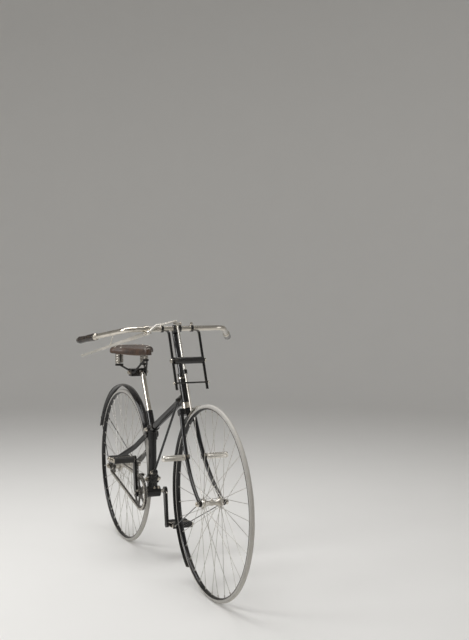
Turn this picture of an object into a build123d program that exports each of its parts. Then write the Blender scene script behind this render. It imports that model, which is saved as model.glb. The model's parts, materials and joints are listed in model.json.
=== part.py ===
"""Cross-frame safety bicycle of about 1890: chain drive, solid tyres, plunger brake and luggage carrier.

Road frame of the script: x forward from the rear axle, y to the left, z up from the road, in mm.
The written solids are shifted so that the origin is the seat point on the saddle top.
"""

import os
from math import cos, pi, radians, sin, sqrt

from build123d import *

# Wheels
front_wheel_diameter = 762.0
rear_wheel_diameter = 720.0
wheelbase = 1072.0
tyre_section = 19.0
tyre_seat_gap = 0.3
rim_wall = 1.5
rim_lip_deg = 65.0
spoke_diameter = 2.2
spokes_per_wheel = 36
spoke_lean_deg = 80.0
nipple_diameter = 5.0
nipple_length = 10.0
spoke_seat_gap = 0.1
spoke_hole_edge = 1.5
spoke_exit_share = 1.15
nipple_rim_gap = 0.4
flange_thickness = 4.0
hub_step = 3.0
hub_end_gap = 1.0
front_flange_radius = 20.0
front_flange_spread = 36.0
front_barrel_radius = 9.0
rear_flange_radius = 27.0
rear_flange_spread = 25.0
rear_barrel_radius = 14.0
running_gap = 0.06
front_axle_radius = 4.5
rear_axle_radius = 5.0

# Head and fork, laid out along the steering axis
head_angle_deg = 65.36
fork_lead = 110.0
crown_guard_gap = 10.9
head_tube_radius = 16.0
head_tube_length = 102.0
head_cup_height = 24.0
head_cup_radius = 18.5
head_face_gap = 0.5
head_nut_height = 7.0
head_nut_rim = 1.0
stem_radius = 11.0
stem_length = 342.0
crown_height = 26.0
crown_depth = 30.0
crown_width = 78.0
crown_floor = 5.0
crown_round = 5.0
blade_root_depth = 6.0
blade_top_radius = 9.5
blade_end_radius = 7.0
blade_spread_top = 27.0
blade_spread_end = 50.0
blade_straight = 120.0
blade_swell = 0.6
fork_end_thickness = 6.0
fork_end_radius = 13.0
nut_height = 9.0
nut_across = 19.0

# Handlebar
bar_radius = 11.0
bar_forward = 30.0
bar_corner_spread = 212.0
bar_end_spread = 345.0
bar_sweep = 262.0
bar_droop = 55.0
bar_bend_radius = 60.0
bar_lug_radius = 15.0
bar_lug_width = 34.0
bar_lug_flat = 2.0
stem_top_set = 3.0
grip_length = 108.0
grip_radius = 14.5
grip_gap = 0.3

# Plunger brake
plunger_radius = 4.5
plunger_forward = 46.0
plunger_top = 362.0
plunger_cap_height = 12.0
plunger_cap_rim = 3.0
spoon_gap = 5.5
spoon_thickness = 3.0
spoon_width = 23.0
spoon_lip = 4.0
spoon_front_deg = 111.0
spoon_rear_deg = 127.0
lever_pivot_spread = 134.0
lever_pivot_forward = 24.0
lever_pivot_drop = 14.0
lever_reach_back = 280.0
lever_reach_out = 197.0
lever_reach_down = 106.0
lever_root_width = 17.0
lever_tip_width = 8.0
lever_thickness = 7.0
lever_arm_radius = 5.0
lever_arm_tip_radius = 4.0
lever_arm_shift = 36.0
lever_arm_rise = 6.0
lever_arm_lead = 4.0
lever_arm_over = 8.0
lever_tip_swell = 0.5
lever_boss_radius = 9.5
bracket_wall = 4.0
bracket_arm_start = 12.0
bracket_half_width = 9.0
bracket_arm_size = 10.0
bracket_arm_short = 6.0
guide_height = 16.0
guide_wall = 5.0
guide_eye_wall = 4.0
guide_lift = 2.0
guide_arm_thickness = 8.0

# Foot pegs and luggage carrier
peg_station = 204.0
peg_inner = 46.0
peg_length = 92.0
peg_radius = 12.0
peg_neck_radius = 7.0
peg_collar_radius = 13.0
peg_collar_width = 4.0
peg_clamp_height = 18.0
peg_clamp_wall = 4.0
strap_spread = 66.0
strap_width = 10.0
strap_thickness = 4.0
roller_radius = 14.0
carrier_rod_radius = 3.5
roller_knob_radius = 8.0
rod_knob_radius = 5.0
knob_length = 6.0
carrier_top_forward = 82.0
carrier_roller_drop = 124.0
carrier_rod_drop = 211.0
carrier_tail_drop = 238.0
carrier_rake_deg = 22.0
strap_bend = 26.0
carrier_seat_gap = 0.2

# Frame
seat_tube_tyre_gap = 6.0
junction_z = 580.0
head_joint_rise = 51.0
backbone_radius = 16.0
seat_tube_radius = 18.0
lug_wall = 4.0
lug_above = 16.0
lug_below = 46.0
lug_bolt_radius = 6.0
lug_bolt_head = 9.0
lug_bolt_tail = 6.0
front_socket_length = 46.0
head_socket_length = 62.0
pillar_radius = 11.0
pillar_lean_deg = 62.0
pillar_socket_length = 86.0
pillar_socket_floor = 20.0
pillar_bend = 30.0
pillar_tail = 30.0
guard_bracket_station = 32.0
guard_bracket_radius = 5.0
fork_arm_height = 26.0
fork_arm_width = 16.0
arm_root_back = 14.0
arm_root_drop = 24.0
arm_root_spread = 20.0
arm_knee_back = 120.0
arm_knee_drop = 73.0
arm_knee_spread = 38.0
arm_end_lead = 112.0
arm_end_rise = 53.0
arm_end_right = 72.0
arm_end_left = 53.0
arm_bend_radius = 300.0
arm_plate_radius = 15.0
arm_plate_lap = 6.0
arm_boss_radius = 15.0
arm_boss_rim = 9.0
bottom_bracket_lead = 4.0
bottom_bracket_z = 302.0
bracket_radius = 24.0
bracket_length = 60.0
bracket_neck = 78.0
pinch_lug_rise = 56.0
pinch_lug_radius = 19.0
pinch_lug_half = 24.0
tie_rod_radius = 5.0
tie_top_back = 22.5
tie_top_drop = 13.5
tie_foot_lead = 45.0
tie_foot_rise = 93.0
tie_eye_radius = 9.0
tie_eye_thickness = 6.0
tie_lug_half = 5.0
tie_lug_rim = 2.0
tie_nut_radius = 7.0
tie_bolt_head = 7.0
tie_bolt_radius = 6.0

# Drive
chain_line = 60.0
chain_pitch = 25.4
chainring_teeth = 18
sprocket_teeth = 9
sprocket_thickness = 5.0
chainring_boss_radius = 15.0
chainring_rim = 14.0
chainring_eye = 30.0
chainring_arms = 5
tooth_depth = 5.0
tooth_rise = 2.5
chain_half_width = 6.0
chain_plate = 2.0
chain_half_height = 6.0
chain_waist = 4.2
chain_block_length = 14.0
chain_block_half_height = 4.9
chain_tooth_room = 1.0
spindle_radius = 8.0
crank_length = 152.0
crank_angle_deg = 98.0
crank_thickness = 12.0
crank_boss_radius = 17.0
crank_eye_radius = 12.0
crank_chain_gap = 6.0
crank_inner_left = 52.0
crank_taper = 4.0
crank_eye_taper = 2.0
crank_end_reach = 3.0
pedal_pin_radius = 6.0
pedal_width = 96.0
pedal_gap = 6.0
pedal_block_height = 24.0
pedal_block_depth = 26.0
pedal_block_spread = 31.0
pedal_plate = 3.0
pedal_plate_reach = 10.0
pedal_sleeve_wall = 4.0
pedal_block_round = 4.0
pedal_pin_reach = 2.0

# Saddle
saddle_x = 190.0
saddle_z = 930.0
saddle_nose = 154.0
saddle_rear = 135.0
saddle_half_width = 104.0
saddle_leather = 6.0
saddle_skirt = 34.0
saddle_rise = 12.0
saddle_pin_drop = 112.0
clip_length = 40.0
clip_half_width = 37.2
clip_wall = 6.0
rail_radius = 4.5
coil_radius = 16.0
coil_wire = 3.2
rear_coil_turns = 12
rear_coil_x = 88.0
rear_coil_spread = 60.0
nose_coil_radius = 9.0
nose_coil_wire = 2.2
nose_coil_turns = 9
nose_coil_x = 112.0
nose_plate_length = 30.0
rail_nose_spread = 6.0
rail_clip_x = 30.0
rail_clip_spread = 30.0
plate_drop = 8.0
plate_seat_gap = 0.3

# Mudguards and step
guard_thickness = 1.6
guard_half_width = 16.0
guard_arch = 5.0
guard_seat_gap = 0.2
guard_bolt_radius = 5.0
front_guard_clearance = 9.0
front_guard_start_deg = 127.6
front_guard_end_deg = 232.5
rear_guard_clearance = 24.0
rear_guard_start_deg = 33.0
rear_guard_end_deg = 158.0
guard_bolt_length = 16.0
front_stay_deg = 205.0
rear_stay_deg = 150.0
guard_bracket_deg = 34.5
stay_radius = 1.8
stay_eye_thickness = 4.0
stay_eye_radius = 9.0
stay_plate_room = 3.0
step_eye_radius = 12.0
step_arm_width = 14.0
step_drop = 56.0
step_thickness = 5.0
step_peg_length = 34.0
step_peg_radius = 7.0

front_radius = front_wheel_diameter / 2
rear_radius = rear_wheel_diameter / 2
front_guard_radius = front_radius + front_guard_clearance
rear_guard_radius = rear_radius + rear_guard_clearance
FRONT_HUB = (wheelbase, front_radius)
REAR_HUB = (0.0, rear_radius)
# the seat tube stands clear of the rear tyre, with room for its lug and bracket between them
junction_x = rear_radius + seat_tube_tyre_gap + seat_tube_radius + lug_wall
BOTTOM_BRACKET = (junction_x + bottom_bracket_lead, bottom_bracket_z)
tie_foot = (junction_x + tie_foot_lead, bottom_bracket_z + tie_foot_rise)
seat_tube_foot = (junction_x, bottom_bracket_z + bracket_neck)
UP_ALIGN = (Align.CENTER, Align.CENTER, Align.MIN)
RIGHT, LEFT = -1, 1

parts = {}


# Shapes that several pieces use
def side_plane(centre, y=0.0):
    """Plane across the bicycle at (x, z): its x is forward, its y up and its z towards the right."""
    return Plane(origin=(centre[0], y, centre[1]), x_dir=(1, 0, 0), z_dir=(0, -1, 0))


def rod(start, end, radius, end_radius=None):
    """Round bar from one point to another, tapered where a second radius is given."""
    run = Vector(*end) - Vector(*start)
    if end_radius is None:
        bar = Cylinder(radius, run.length, align=UP_ALIGN)
    else:
        bar = Cone(radius, end_radius, run.length, align=UP_ALIGN)
    return Plane(origin=start, z_dir=run.normalized()) * bar


def ring(centre, y_low, y_high, radius, bore=0.0):
    """Disc or tube lying across the bicycle between two y values."""
    body = Cylinder(radius, y_high - y_low, align=UP_ALIGN)
    if bore:
        body -= Cylinder(bore, y_high - y_low, align=UP_ALIGN)
    return Plane(origin=(centre[0], y_low, centre[1]), x_dir=(1, 0, 0), z_dir=(0, 1, 0)) * body


def section_face(*lines):
    """Face between joined lines drawn as (radius, height), ready to turn about the z axis."""
    return make_face([edge for line in lines for edge in (Plane.XZ * line).edges()])


def turned(outline):
    """Solid turned about the local z axis from (radius, height) points."""
    return revolve(section_face(Polyline(*outline, close=True)), Axis.Z)


def hexagon(centre, y_low, y_high, across, bore):
    """Hexagon nut across the bicycle."""
    face = RegularPolygon(across / 2, 6, major_radius=False) - Circle(bore)
    nut = extrude(face, amount=y_high - y_low)
    return Plane(origin=(centre[0], y_low, centre[1]), x_dir=(1, 0, 0), z_dir=(0, 1, 0)) * nut


def swept(points, radii, section):
    """Section swept along straight runs joined by arcs."""
    path = FilletPolyline(*points, radius=radii)
    start = Plane(origin=path @ 0, x_dir=(0, 1, 0), z_dir=path % 0)
    return sweep(start * section, path=path)


def mirrored(shape):
    """The same piece on the other side of the bicycle."""
    return mirror(shape, about=Plane.XZ)


def as_node(name, *solids):
    """Store a node made of one or more separate solids."""
    parts[name] = [solid for piece in solids for solid in piece.solids()]


# Steering axis: station runs down from the crown seat, reach runs forward, both square to each other
axis_down = Vector(cos(radians(head_angle_deg)), 0, -sin(radians(head_angle_deg)))
axis_forward = Vector(sin(radians(head_angle_deg)), 0, cos(radians(head_angle_deg)))
# the crown's lower face stands over the front mudguard by its gap
hub_offset = fork_lead * sin(radians(head_angle_deg))
crown_reach = front_guard_radius + guard_thickness + crown_guard_gap
hub_station = crown_height + sqrt(crown_reach**2 - hub_offset**2)
crown_point = Vector(wheelbase, 0, front_radius) - axis_down * hub_station - axis_forward * hub_offset


def on_axis(station, reach=0.0, y=0.0):
    """Point at a station along the steering axis, reach ahead of it and y to the left."""
    point = crown_point + axis_down * station + axis_forward * reach
    return (point.X, y, point.Z)


def axis_plane(station, reach=0.0, y=0.0):
    """Plane square to the steering axis, z pointing up along it, x forward."""
    return Plane(origin=on_axis(station, reach, y), x_dir=axis_forward, z_dir=-axis_down)


# Wheels
def build_wheel(name, hub, radius, flange_spread, flange_radius, barrel_radius, axle_radius, ends):
    """Tyre, rim, tangent spokes and hub of one wheel; ends are the hub's right and left reach."""
    place = side_plane(hub)
    tyre_radius = tyre_section / 2
    tyre_circle = radius - tyre_radius
    # four faces stand out of the rim and two lie hidden in it, which keeps the long tyre light in faces
    bare = 180 - rim_lip_deg
    tyre_outline = [
        (tyre_circle + tyre_radius * cos(radians(turn)), tyre_radius * sin(radians(turn)))
        for turn in (0, bare / 2, bare, 180, -bare, -bare / 2)
    ]
    as_node(f"{name}_tyre", place * turned(tyre_outline))

    groove = tyre_radius + tyre_seat_gap
    back = groove + rim_wall
    rim_inner = tyre_circle - back
    arc_points = {
        reach: [
            (tyre_circle - reach * cos(radians(turn)), reach * sin(radians(turn)))
            for turn in (-rim_lip_deg, 0, rim_lip_deg)
        ]
        for reach in (groove, back)
    }
    section = section_face(
        ThreePointArc(*arc_points[groove]),
        ThreePointArc(*arc_points[back]),
        Line(arc_points[groove][0], arc_points[back][0]),
        Line(arc_points[groove][2], arc_points[back][2]),
    )
    as_node(f"{name}_rim", place * revolve(section, Axis.Z))

    spoke_radius = spoke_diameter / 2
    hole_circle = flange_radius - 2 * spoke_radius - spoke_hole_edge
    face_offset = flange_thickness / 2 + spoke_radius + spoke_seat_gap
    foot = rim_inner - spoke_seat_gap
    # an outer spoke slopes in over its flange, so it starts this much further out
    exit_run = sqrt(flange_radius**2 - hole_circle**2)
    exit_drop = spoke_exit_share * exit_run * (flange_spread + face_offset) / foot
    per_flange = spokes_per_wheel // 2
    spokes = []
    for flange in (RIGHT, LEFT):
        for number in range(per_flange):
            lean = 1 if number % 2 else -1
            start_deg = 360 / per_flange * number + (180 / per_flange if flange == LEFT else 0)
            end_deg = start_deg + lean * spoke_lean_deg
            height = -flange * (flange_spread + lean * face_offset + (exit_drop if lean > 0 else 0))
            start = (hole_circle * cos(radians(start_deg)), hole_circle * sin(radians(start_deg)), height)
            end = (foot * cos(radians(end_deg)), foot * sin(radians(end_deg)), 0)
            run = Vector(*end) - Vector(*start)
            outline = [
                (0, 0),
                (spoke_radius, 0),
                (spoke_radius, run.length - nipple_length),
                (nipple_diameter / 2, run.length - nipple_length),
                (nipple_diameter / 2, run.length - nipple_rim_gap),
                (0, run.length - nipple_rim_gap),
            ]
            spokes.append(place * (Plane(origin=start, z_dir=run.normalized()) * turned(outline)))
    as_node(f"{name}_spokes", *spokes)

    inner = flange_spread - flange_thickness / 2
    outer = flange_spread + flange_thickness / 2
    bore = axle_radius + running_gap
    halves = []
    for end in ends:
        halves.append(
            [
                (barrel_radius, inner - hub_step),
                (barrel_radius + hub_step, inner),
                (flange_radius, inner),
                (flange_radius, outer),
                (barrel_radius + hub_step, outer),
                (barrel_radius + hub_step, end - hub_step),
                (barrel_radius, end),
                (bore, end),
            ]
        )
    right_half, left_half = halves
    as_node(f"{name}_hub", place * turned(right_half[::-1] + [(r, -h) for r, h in left_half]))


fork_end_inner = blade_spread_end - fork_end_thickness / 2
front_hub_end = fork_end_inner - hub_end_gap
build_wheel(
    "front",
    FRONT_HUB,
    front_radius,
    front_flange_spread,
    front_flange_radius,
    front_barrel_radius,
    front_axle_radius,
    (front_hub_end, front_hub_end),
)
plate_inner = {RIGHT: arm_end_right - fork_end_thickness / 2, LEFT: arm_end_left - fork_end_thickness / 2}
plate_outer = {side: inner + fork_end_thickness for side, inner in plate_inner.items()}
build_wheel(
    "rear",
    REAR_HUB,
    rear_radius,
    rear_flange_spread,
    rear_flange_radius,
    rear_barrel_radius,
    rear_axle_radius,
    (plate_inner[RIGHT] - hub_end_gap, plate_inner[LEFT] - hub_end_gap),
)

# Fork crown, blades and axle
crown = axis_plane(crown_height) * Box(crown_depth, crown_width, crown_height, align=UP_ALIGN)
crown = fillet(crown.edges(), crown_round)
stem_foot = crown_height - crown_floor
crown_bore = axis_plane(stem_foot) * Cylinder(stem_radius, crown_height, align=UP_ALIGN)


# each blade is raked on one arc that ends at the axle
blade_bend_length = hub_station - blade_straight
blade_bend_radius = (blade_bend_length**2 + hub_offset**2) / (2 * hub_offset)


def blade_point(station, reach, side):
    """Centre of a fork blade: it spreads evenly from the crown to the axle."""
    share = (station - crown_height) / (hub_station - crown_height)
    spread = blade_spread_top + share * (blade_spread_end - blade_spread_top)
    return Vector(*on_axis(station, reach, side * spread))


def blade_reach(station):
    """How far the raked blade has left the steering axis."""
    past = max(0.0, station - blade_straight)
    return blade_bend_radius - sqrt(blade_bend_radius**2 - past**2)


def build_blade(side):
    """Tapered blade with a drawn-out eye for the axle."""
    top = blade_point(blade_root_depth, 0, side)
    bend = blade_point(blade_straight, 0, side)
    foot = blade_point(hub_station, blade_reach(hub_station), side)
    middle_station = (blade_straight + hub_station) / 2
    middle = blade_point(middle_station, blade_reach(middle_station), side)
    path = Line(top, bend) + ThreePointArc(bend, middle, foot)
    bend_radius = (blade_top_radius + blade_end_radius) / 2 + blade_swell
    sections = [
        Plane(origin=path.edges()[0] @ 0, z_dir=path.edges()[0] % 0) * Circle(blade_top_radius),
        Plane(origin=path.edges()[1] @ 0, z_dir=path.edges()[1] % 0) * Circle(bend_radius),
        Plane(origin=path.edges()[1] @ 1, z_dir=path.edges()[1] % 1) * Circle(blade_end_radius),
    ]
    straight = loft([sections[0].face(), sections[1].face()])
    curved = sweep([sections[1], sections[2]], path=path.edges()[1], multisection=True)
    inner = side * fork_end_inner
    outer = side * (fork_end_inner + fork_end_thickness)
    eye = ring(FRONT_HUB, min(inner, outer), max(inner, outer), fork_end_radius)
    hole = ring(FRONT_HUB, *sorted((0, 2 * outer)), front_axle_radius)
    room = ring(FRONT_HUB, *sorted((side * front_barrel_radius, inner)), fork_end_radius + 3)
    nut_room = ring(FRONT_HUB, *sorted((outer, 2 * outer)), fork_end_radius + 1)
    return straight + curved - room - nut_room + eye - hole


blade_right = build_blade(RIGHT)
blade_left = build_blade(LEFT)
guard_bolt = Cylinder(guard_bolt_radius, guard_bolt_length, align=UP_ALIGN)
crown += axis_plane(crown_height + guard_bolt_length) * guard_bolt
crown -= ring(FRONT_HUB, -crown_width, crown_width, front_guard_radius + guard_thickness + guard_seat_gap)
as_node("fork_crown", crown - crown_bore - blade_right - blade_left)
as_node("fork_blades", blade_right, blade_left)

fork_end_outer = fork_end_inner + fork_end_thickness
front_stay_seat = fork_end_outer + stay_eye_thickness
axle_end = front_stay_seat + nut_height + 3
front_axle = ring(FRONT_HUB, -axle_end, axle_end, front_axle_radius)
for side in (RIGHT, LEFT):
    span = sorted((side * front_stay_seat, side * (front_stay_seat + nut_height)))
    front_axle += hexagon(FRONT_HUB, *span, nut_across, front_axle_radius - 1)
as_node("front_axle", front_axle)

# Head tube with its backbone socket, running on the stem between two face gaps
head_foot = -(head_cup_height + head_face_gap)
head_top = head_foot - head_tube_length
bore = stem_radius + running_gap
junction = Vector(junction_x, 0, junction_z)
head_joint = Vector(*on_axis(-head_joint_rise))
backbone_run = (junction - head_joint).normalized()
tie_top = (head_joint.X - tie_top_back, head_joint.Z - tie_top_drop)
tie_top_y = -(backbone_radius + tie_lug_rim)
head_tube = axis_plane(head_foot) * Cylinder(head_tube_radius, head_tube_length, align=UP_ALIGN)
head_tube += rod(head_joint, head_joint + backbone_run * head_socket_length, backbone_radius + lug_wall)
head_tube += ring(tie_top, tie_top_y, 0, tie_eye_radius + tie_lug_rim)
head_tube -= axis_plane(head_foot + 1) * Cylinder(bore, head_tube_length + 2, align=UP_ALIGN)
as_node("head_tube", head_tube)

# Stem from the crown to the handlebar lug, with the plated lower cup and the head nut on it
bar_station = -stem_length
bar_centre = on_axis(bar_station, bar_forward)
stem = axis_plane(stem_foot) * Cylinder(
    stem_radius, stem_foot + stem_length + bar_lug_radius - stem_top_set, align=UP_ALIGN
)
stem += axis_plane(0) * Cylinder(head_cup_radius, head_cup_height, align=UP_ALIGN)
nut_station = head_top - head_face_gap
stem += axis_plane(nut_station) * Cylinder(head_tube_radius + head_nut_rim, head_nut_height, align=UP_ALIGN)
lug_half = bar_lug_radius - bar_lug_flat
lug = axis_plane(bar_station + lug_half, bar_forward / 2) * Box(
    bar_forward, bar_lug_width * 0.7, 2 * lug_half, align=UP_ALIGN
)
bar_flat = (bar_centre[0], bar_centre[2])
stem += lug + ring(bar_flat, -bar_lug_width / 2, bar_lug_width / 2, bar_lug_radius)
stem -= ring(bar_flat, -bar_lug_width, bar_lug_width, bar_radius)
plunger_path = axis_plane(0, plunger_forward) * Cylinder(
    plunger_radius + guide_eye_wall, stem_length + 2 * bar_forward, align=UP_ALIGN
)
stem -= plunger_path
as_node("steering_stem", stem)

# Handlebar, swept back and drooping, with a grip on each end
corner = Vector(bar_centre[0], bar_corner_spread, bar_centre[2])
tip = Vector(bar_centre[0] - bar_sweep, bar_end_spread, bar_centre[2] - bar_droop)
bar_points = [
    (tip.X, -tip.Y, tip.Z),
    (corner.X, -corner.Y, corner.Z),
    (corner.X, corner.Y, corner.Z),
    (tip.X, tip.Y, tip.Z),
]
as_node("handlebar", swept(bar_points, bar_bend_radius, Circle(bar_radius)))
grip_run = (tip - corner).normalized()
grip_outline = [
    (bar_radius + grip_gap, 0),
    (grip_radius, 0),
    (grip_radius + 1.5, grip_length * 0.15),
    (grip_radius - 0.5, grip_length * 0.6),
    (grip_radius + 1, grip_length * 0.92),
    (grip_radius - 4, grip_length + 6),
    (0, grip_length + 8),
    (0, grip_length + grip_gap),
    (bar_radius + grip_gap, grip_length + grip_gap),
]
grip_start = tip - grip_run * grip_length
grip = Plane(origin=grip_start, z_dir=grip_run) * turned(grip_outline)
as_node("grips", grip, mirrored(grip))

# Plunger brake: bracket, lever, rod with its spoon, and the guide on the stem
pivot = (bar_centre[0] + lever_pivot_forward, bar_centre[2] - lever_pivot_drop)
pivot_y = -lever_pivot_spread
clamp_span = (pivot_y - bracket_half_width, pivot_y + bracket_half_width)
bracket = ring(bar_flat, *clamp_span, bar_radius + bracket_wall, bar_radius)
arm_run = Vector(lever_pivot_forward, 0, -lever_pivot_drop)
arm_length = arm_run.length - bar_radius - bracket_arm_short
arm_along = arm_run.normalized()
arm_start = Vector(bar_centre[0], pivot_y, bar_centre[2]) + arm_along * bracket_arm_start
bracket_arm = Plane(origin=arm_start, x_dir=(0, 1, 0), z_dir=arm_along)
arm_block = bracket_arm * Box(bracket_arm_size, bracket_arm_size, arm_length, align=UP_ALIGN)
as_node("brake_bracket", bracket + (arm_block - ring(bar_flat, *clamp_span, bar_radius)))

lever_start = Vector(pivot[0], pivot_y, pivot[1])
lever_run = Vector(-lever_reach_back, -lever_reach_out, -lever_reach_down)
lever_flat = lever_run.cross(Vector(0, 0, 1))
lever_plane = Plane(origin=lever_start, x_dir=lever_run.normalized(), z_dir=lever_flat)
lever_length = lever_run.length
blade = make_face(
    Polyline(
        (0, -lever_root_width / 2),
        (lever_length, -lever_tip_width / 2),
        (lever_length, lever_tip_width / 2),
        (0, lever_root_width / 2),
        close=True,
    )
)
lever = lever_plane * extrude(blade, amount=lever_thickness / 2, both=True)
lever += lever_plane * Pos(lever_length, 0, 0) * Cylinder(
    lever_tip_width / 2 + lever_tip_swell, lever_thickness + 2 * lever_tip_swell
)
lever += Plane(origin=lever_start) * Sphere(lever_boss_radius)
cap = on_axis(-plunger_top, plunger_forward)
arm_rise = (
    pivot[0] + lever_arm_lead,
    pivot_y + lever_arm_shift,
    bar_centre[2] + bar_radius + lever_arm_rise,
)
arm_tip = (cap[0], -plunger_radius / 2, cap[2] + lever_arm_over)
lever += rod(lever_start, arm_rise, lever_arm_radius) + Plane(origin=arm_rise) * Sphere(lever_arm_radius)
lever += rod(arm_rise, arm_tip, lever_arm_radius, lever_arm_tip_radius)
lever = lever - arm_block - bracket
as_node("brake_lever", lever)

spoon_inner = front_radius + spoon_gap
spoon_outer = spoon_inner + spoon_thickness
spoon_profile = section_face(
    Polyline(
        (spoon_inner - spoon_lip, -spoon_width / 2),
        (spoon_inner, spoon_lip - spoon_width / 2),
        (spoon_inner, spoon_width / 2 - spoon_lip),
        (spoon_inner - spoon_lip, spoon_width / 2),
        (spoon_outer - spoon_lip, spoon_width / 2),
        (spoon_outer, spoon_width / 2 - spoon_lip),
        (spoon_outer, spoon_lip - spoon_width / 2),
        (spoon_outer - spoon_lip, -spoon_width / 2),
        close=True,
    )
)
spoon = revolve(spoon_profile, Axis.Z, revolution_arc=spoon_rear_deg - spoon_front_deg)
spoon = side_plane(FRONT_HUB) * (Rot(0, 0, spoon_front_deg) * spoon)
# the rod ends where its line meets the back of the spoon
plunger_aside = hub_offset - plunger_forward
plunger_foot = hub_station - sqrt((spoon_inner + spoon_thickness / 2) ** 2 - plunger_aside**2)
plunger = rod(on_axis(plunger_foot, plunger_forward), cap, plunger_radius)
cap_foot = on_axis(plunger_cap_height - plunger_top, plunger_forward)
plunger += rod(cap_foot, cap, plunger_radius + plunger_cap_rim)
plunger = plunger + spoon - lever
as_node("brake_plunger", plunger)

guide_station = nut_station - head_nut_height - guide_lift
guide = axis_plane(guide_station) * Cylinder(stem_radius + guide_wall, guide_height, align=UP_ALIGN)
guide += axis_plane(guide_station, plunger_forward / 2) * Box(
    plunger_forward, guide_arm_thickness, guide_height * 0.6, align=UP_ALIGN
)
guide += axis_plane(guide_station, plunger_forward) * Cylinder(
    plunger_radius + guide_eye_wall, guide_height, align=UP_ALIGN
)
guide -= axis_plane(guide_station + 1) * Cylinder(stem_radius, guide_height + 2, align=UP_ALIGN)
guide -= axis_plane(guide_station + 1, plunger_forward) * Cylinder(
    plunger_radius + running_gap, guide_height + 2, align=UP_ALIGN
)
as_node("brake_guide", guide)

# Foot pegs clamped on the fork blades
pegs = []
peg_reach = blade_reach(peg_station)
for side in (RIGHT, LEFT):
    centre = blade_point(peg_station, peg_reach, side)
    blade_solid = blade_right if side == RIGHT else blade_left
    flat = (centre.X, centre.Z)
    collar_end = peg_inner + peg_collar_width
    clamp = axis_plane(peg_station + peg_clamp_height / 2, peg_reach, centre.Y) * Cylinder(
        blade_top_radius + peg_clamp_wall, peg_clamp_height, align=UP_ALIGN
    )
    peg = clamp + ring(flat, *sorted((centre.Y, side * peg_inner)), peg_neck_radius)
    peg += ring(flat, *sorted((side * peg_inner, side * collar_end)), peg_collar_radius)
    peg += ring(flat, *sorted((side * collar_end, side * (collar_end + peg_length))), peg_radius)
    pegs.append(peg - blade_solid)
as_node("foot_pegs", *pegs)

# Luggage carrier: two straps hooked on the bar, a roller and a thin lower rod
rake = radians(carrier_rake_deg)
strap_top = Vector(bar_centre[0] + carrier_top_forward, 0, bar_centre[2] - bar_radius / 2)


def strap_point(drop):
    """Point on the straps' line at a drop below the handlebar."""
    return Vector(strap_top.X + (drop - bar_radius / 2) * sin(rake) / cos(rake), 0, bar_centre[2] - drop)


strap_section = Rectangle(strap_width, strap_thickness)
half_strap = strap_width / 2
straps = []
roller_point = strap_point(carrier_roller_drop)
rod_point = strap_point(carrier_rod_drop)
tail_point = strap_point(carrier_tail_drop)
for side in (RIGHT, LEFT):
    y = side * strap_spread
    start = (bar_centre[0] + bar_radius + 2, y, strap_top.Z)
    points = [start, (strap_top.X, y, strap_top.Z), (tail_point.X, y, tail_point.Z)]
    strap = swept(points, strap_bend, strap_section)
    strap += ring(bar_flat, y - half_strap, y + half_strap, bar_radius + strap_thickness)
    strap -= ring(bar_flat, y - strap_width, y + strap_width, bar_radius)
    knob_span = sorted((side * (strap_spread - half_strap), side * (strap_spread + half_strap + knob_length)))
    for point, radius in ((roller_point, roller_knob_radius), (rod_point, rod_knob_radius)):
        strap += ring((point.X, point.Z), *knob_span, radius)
    straps.append(strap)
bar_span = strap_spread - half_strap - carrier_seat_gap
roller = ring((roller_point.X, roller_point.Z), -bar_span, bar_span, roller_radius)
thin_rod = ring((rod_point.X, rod_point.Z), -bar_span, bar_span, carrier_rod_radius)
as_node("carrier_straps", *straps)
as_node("carrier_bars", roller, thin_rod)


# Mudguards
def guard(hub, radius, start_deg, end_deg):
    """Thin arched blade swept round a wheel between two angles."""
    rise = guard_arch
    inner, outer = radius, radius + guard_thickness
    profile = section_face(
        ThreePointArc((inner - rise, -guard_half_width), (inner, 0), (inner - rise, guard_half_width)),
        Line((inner - rise, guard_half_width), (outer - rise, guard_half_width)),
        ThreePointArc((outer - rise, guard_half_width), (outer, 0), (outer - rise, -guard_half_width)),
        Line((outer - rise, -guard_half_width), (inner - rise, -guard_half_width)),
    )
    blade = revolve(profile, Axis.Z, revolution_arc=end_deg - start_deg)
    return side_plane(hub) * (Rot(0, 0, start_deg) * blade)


def guard_stay(hub, radius, angle_deg, seat, side):
    """Wire from an eye on the axle to the outside of a guard's edge."""
    reach = radius - guard_arch + guard_thickness
    foot = (
        hub[0] + reach * cos(radians(angle_deg)),
        side * (guard_half_width + guard_seat_gap + stay_radius),
        hub[1] + reach * sin(radians(angle_deg)),
    )
    eye_y = sorted((side * seat, side * (seat + stay_eye_thickness)))
    middle = side * (seat + stay_eye_thickness / 2)
    start = (hub[0], middle, hub[1])
    stay = ring(hub, *eye_y, stay_eye_radius) + rod(start, foot, stay_radius)
    return stay


as_node(
    "front_mudguard", guard(FRONT_HUB, front_guard_radius, front_guard_start_deg, front_guard_end_deg)
)
as_node("rear_mudguard", guard(REAR_HUB, rear_guard_radius, rear_guard_start_deg, rear_guard_end_deg))
front_seats = {RIGHT: fork_end_outer, LEFT: fork_end_outer}
for name, hub, radius, angle_deg, seats, axle_radius, plate_radius in (
    ("front", FRONT_HUB, front_guard_radius, front_stay_deg, front_seats, front_axle_radius, fork_end_radius),
    ("rear", REAR_HUB, rear_guard_radius, rear_stay_deg, plate_outer, rear_axle_radius, arm_plate_radius),
):
    stays = []
    for side, seat in seats.items():
        stay = guard_stay(hub, radius, angle_deg, seat, side)
        stay -= ring(hub, *sorted((0, 2 * side * seat)), axle_radius)
        stays.append(stay - ring(hub, *sorted((0, side * seat)), plate_radius + stay_plate_room))
    as_node(f"{name}_guard_stays", *stays)

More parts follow.
